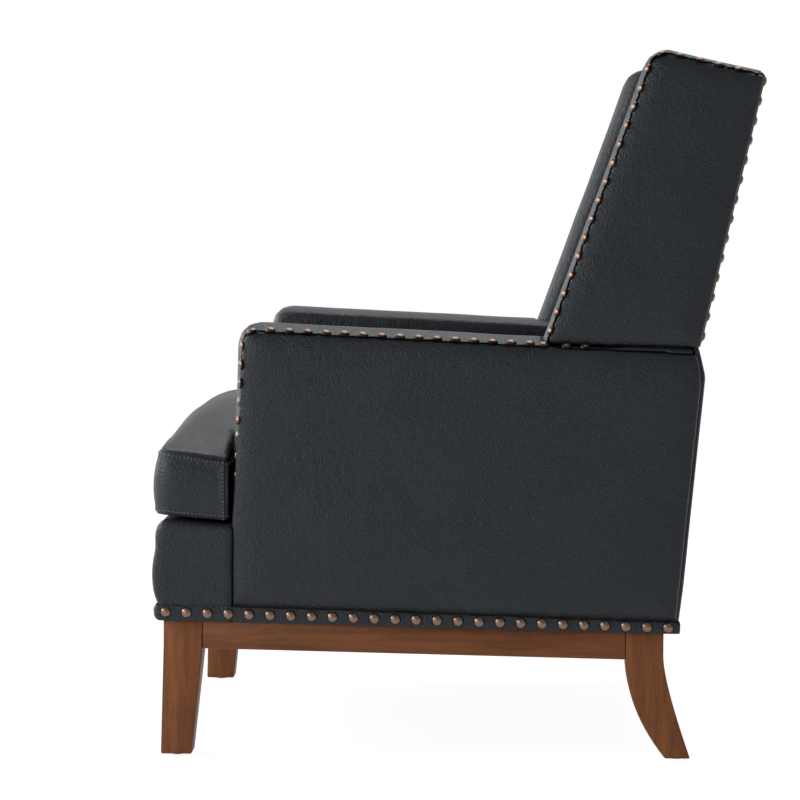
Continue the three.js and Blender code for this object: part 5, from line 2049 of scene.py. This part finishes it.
@dataclass
class SeatDeck(SubAssembly):
    """The cloth-covered seat deck under the cushion, and the dust cover under the seat."""

    def build(self) -> None:
        """Builds the deck and the dust cover."""
        pad = remeshed(node_copy("deck_pad"), 6, 1)
        padded_piece("deck_pad_foam", pad, self.finishes.foam, "foam", "deck_pad")
        aprons = ["front_apron_board", "rear_apron_board", "side_apron_left_board", "side_apron_right_board"]
        for node, material, under in (
            ("deck_cover", self.finishes.decking, ["deck_pad_foam"]),
            ("dust_cover", self.finishes.cambric, aprons),
        ):
            low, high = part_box(node)
            shape = node_copy(node)
            for axis in (0, 1):
                grid_cut(shape, axis, 20)
            cloth = finish_piece(f"{node}_cloth", shape, material, Body.CHAIR, 30)
            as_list(under)
            stands_for(cloth, "decking_cloth", node)


@dataclass
class HiddenFrame(SubAssembly):
    """The timber, springs and webbing inside the upholstery."""

    grain: dict[str, Along] = field(default_factory=lambda: {
        "front_rail": Along.ACROSS, "rear_seat_rail": Along.ACROSS, "rear_tack_rail": Along.ACROSS,
        "back_top_rail": Along.ACROSS, "back_tack_rail": Along.ACROSS, "side_rail": Along.DEEP,
        "arm_rail": Along.DEEP, "front_arm_post": Along.UP, "back_upright": Along.UP, "wing_frame": Along.UP,
    })

    def build(self) -> None:
        """Dresses the frame."""
        for name in list(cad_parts):
            stem = name.removesuffix("_left").removesuffix("_right")
            if stem in self.grain:
                refinish(name, self.finishes.timber[self.grain[stem]])
            elif name.startswith("seat_spring"):
                refinish(name, self.finishes.steel)
            elif name.startswith("back_web"):
                shape = node_copy(name)
                grid_cut(shape, 0, 25)
                strip = finish_piece(f"{name}_jute", shape, self.finishes.jute, Body.CHAIR, 30)
                stands_for(strip, "webbing", name)


@dataclass
class Studio:
    """A pale floor and backdrop, soft lamps, and the photograph's camera."""

    camera_place: tuple[float, float, float] = (4.439, 0.0595, 0.757)
    camera_right: tuple[float, float, float] = (-0.03259, 0.99946, 0.00403)
    camera_up: tuple[float, float, float] = (-0.06616, -0.00618, 0.99779)
    camera_back: tuple[float, float, float] = (0.99728, 0.03225, 0.06633)
    lens_mm: float = 137.7
    floor_size: float = 60.0
    backdrop_x: float = 9.0
    mirrored_share: float = 0.6

    def camera(self) -> None:
        """Places the camera at the photograph's viewing angle."""
        data = bpy.data.cameras.new("camera")
        data.lens = self.lens_mm
        data.sensor_width = 36
        data.clip_end = 200
        camera = bpy.data.objects.new("camera", data)
        bpy.context.scene.collection.objects.link(camera)
        axes = Matrix((self.camera_right, self.camera_up, self.camera_back)).transposed().to_4x4()
        camera.matrix_world = Matrix.Translation(self.camera_place) @ axes
        bpy.context.scene.camera = camera

    def lamp(
        self, name: str, place: Sequence[float], target: Sequence[float], size: float, power: float
    ) -> None:
        """Adds a soft lamp.

        Args:
            name: the lamp's name.
            place: where it stands.
            target: what it looks at.
            size: its width and height.
            power: its output in watts.
        """
        data = bpy.data.lights.new(name, "AREA")
        data.shape = "SQUARE"
        data.size = size
        data.energy = power
        lamp = bpy.data.objects.new(name, data)
        lamp.location = place
        lamp.rotation_euler = (Vector(target) - Vector(place)).to_track_quat("-Z", "Y").to_euler()
        bpy.context.scene.collection.objects.link(lamp)

    def floor(self) -> None:
        """Lays a floor and hangs a backdrop that the camera and reflections see as white.

        The floor keeps the chair's shadow.
        """
        material = bpy.data.materials.new("white_paper_sweep")
        material.use_nodes = True
        tree = material.node_tree
        tree.nodes.clear()
        ray = add_node(tree, "ShaderNodeLightPath", {}, {})
        mirrored_paper = add_node(tree, "ShaderNodeMath", {"operation": "MULTIPLY"}, {
            0: ray.outputs["Is Glossy Ray"], 1: self.mirrored_share,
        })
        seen = add_node(tree, "ShaderNodeMath", {"operation": "MAXIMUM"}, {
            0: ray.outputs["Is Camera Ray"], 1: mirrored_paper.outputs[0],
        })
        seen = add_node(tree, "ShaderNodeMath", {"operation": "MAXIMUM"}, {
            0: seen.outputs[0], 1: ray.outputs["Is Transmission Ray"],
        })
        colour = add_node(tree, "ShaderNodeMix", {"data_type": "RGBA"}, {
            0: seen.outputs[0], 6: srgb("ededed"), 7: srgb("7c7c7c"),
        })
        paper = add_node(tree, "ShaderNodeBsdfDiffuse", {}, {"Color": colour.outputs[2]})
        white = add_node(tree, "ShaderNodeEmission", {}, {
            "Strength": seen.outputs[0], "Color": srgb("f8f8f8"),
        })
        both = add_node(tree, "ShaderNodeAddShader", {}, {0: paper.outputs[0], 1: white.outputs[0]})
        add_node(tree, "ShaderNodeOutputMaterial", {}, {"Surface": both.outputs[0]})
        half = self.floor_size / 2
        upright = Matrix.Translation((-self.backdrop_x, 0, half)) @ Matrix.Rotation(math.pi / 2, 4, "Y")
        for name, place in (("floor", Matrix()), ("backdrop", upright)):
            shape = bmesh.new()
            bmesh.ops.create_grid(shape, x_segments=1, y_segments=1, size=half, matrix=place)
            sheet = scene_object(name, shape)
            shape.free()
            sheet.data.materials.append(material)

    def world(self) -> None:
        """Lights the room evenly, and shows it white behind the chair."""
        world = bpy.data.worlds.new("studio")
        bpy.context.scene.world = world
        world.use_nodes = True
        tree = world.node_tree
        tree.nodes.clear()
        ray = add_node(tree, "ShaderNodeLightPath", {}, {})
        soft = add_node(tree, "ShaderNodeBackground", {}, {"Color": srgb("f0f3f8"), "Strength": 0.32})
        white = add_node(tree, "ShaderNodeBackground", {}, {"Color": srgb("ffffff"), "Strength": 1.0})
        seen = add_node(tree, "ShaderNodeMath", {"operation": "MAXIMUM"}, {
            0: ray.outputs["Is Camera Ray"], 1: ray.outputs["Is Transmission Ray"],
        })
        mixed = add_node(tree, "ShaderNodeMixShader", {}, {
            0: seen.outputs[0], 1: soft.outputs[0], 2: white.outputs[0],
        })
        add_node(tree, "ShaderNodeOutputWorld", {}, {"Surface": mixed.outputs[0]})

    def build(self) -> None:
        """Sets up the floor, lamps and world."""
        bpy.context.scene.view_settings.view_transform = "Standard"
        self.floor()
        self.world()
        middle = (0, 0, 0.5)
        self.lamp("front_softbox", (0.9, -3.8, 1.9), middle, 2.2, 108)
        self.lamp("corner_softbox", (3.9, -2.3, 1.2), middle, 1.2, 30)
        self.lamp("rim_softbox", (-3.0, -3.4, 1.6), middle, 2.0, 45)
        self.lamp("side_softbox", (4.4, 1.8, 2.6), middle, 2.4, 8)
        self.lamp("top_softbox", (-0.9, 0.2, 3.6), middle, 2.6, 54)


def main() -> None:
    """Builds the chair and its studio."""
    logging.basicConfig(level=logging.INFO, format="%(message)s")
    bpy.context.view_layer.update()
    studio = Studio()
    studio.camera()
    finishes = Finishes()
    for part in (ChairBase, HiddenFrame, SeatDeck, SeatBorder, ArmUpholstery, WingUpholstery,
                 BackUpholstery, SeatCushion):
        LOG.info("building %s", part.__name__)
        part(finishes).build()
    studio.build()


if __name__ == "__main__":
    main()
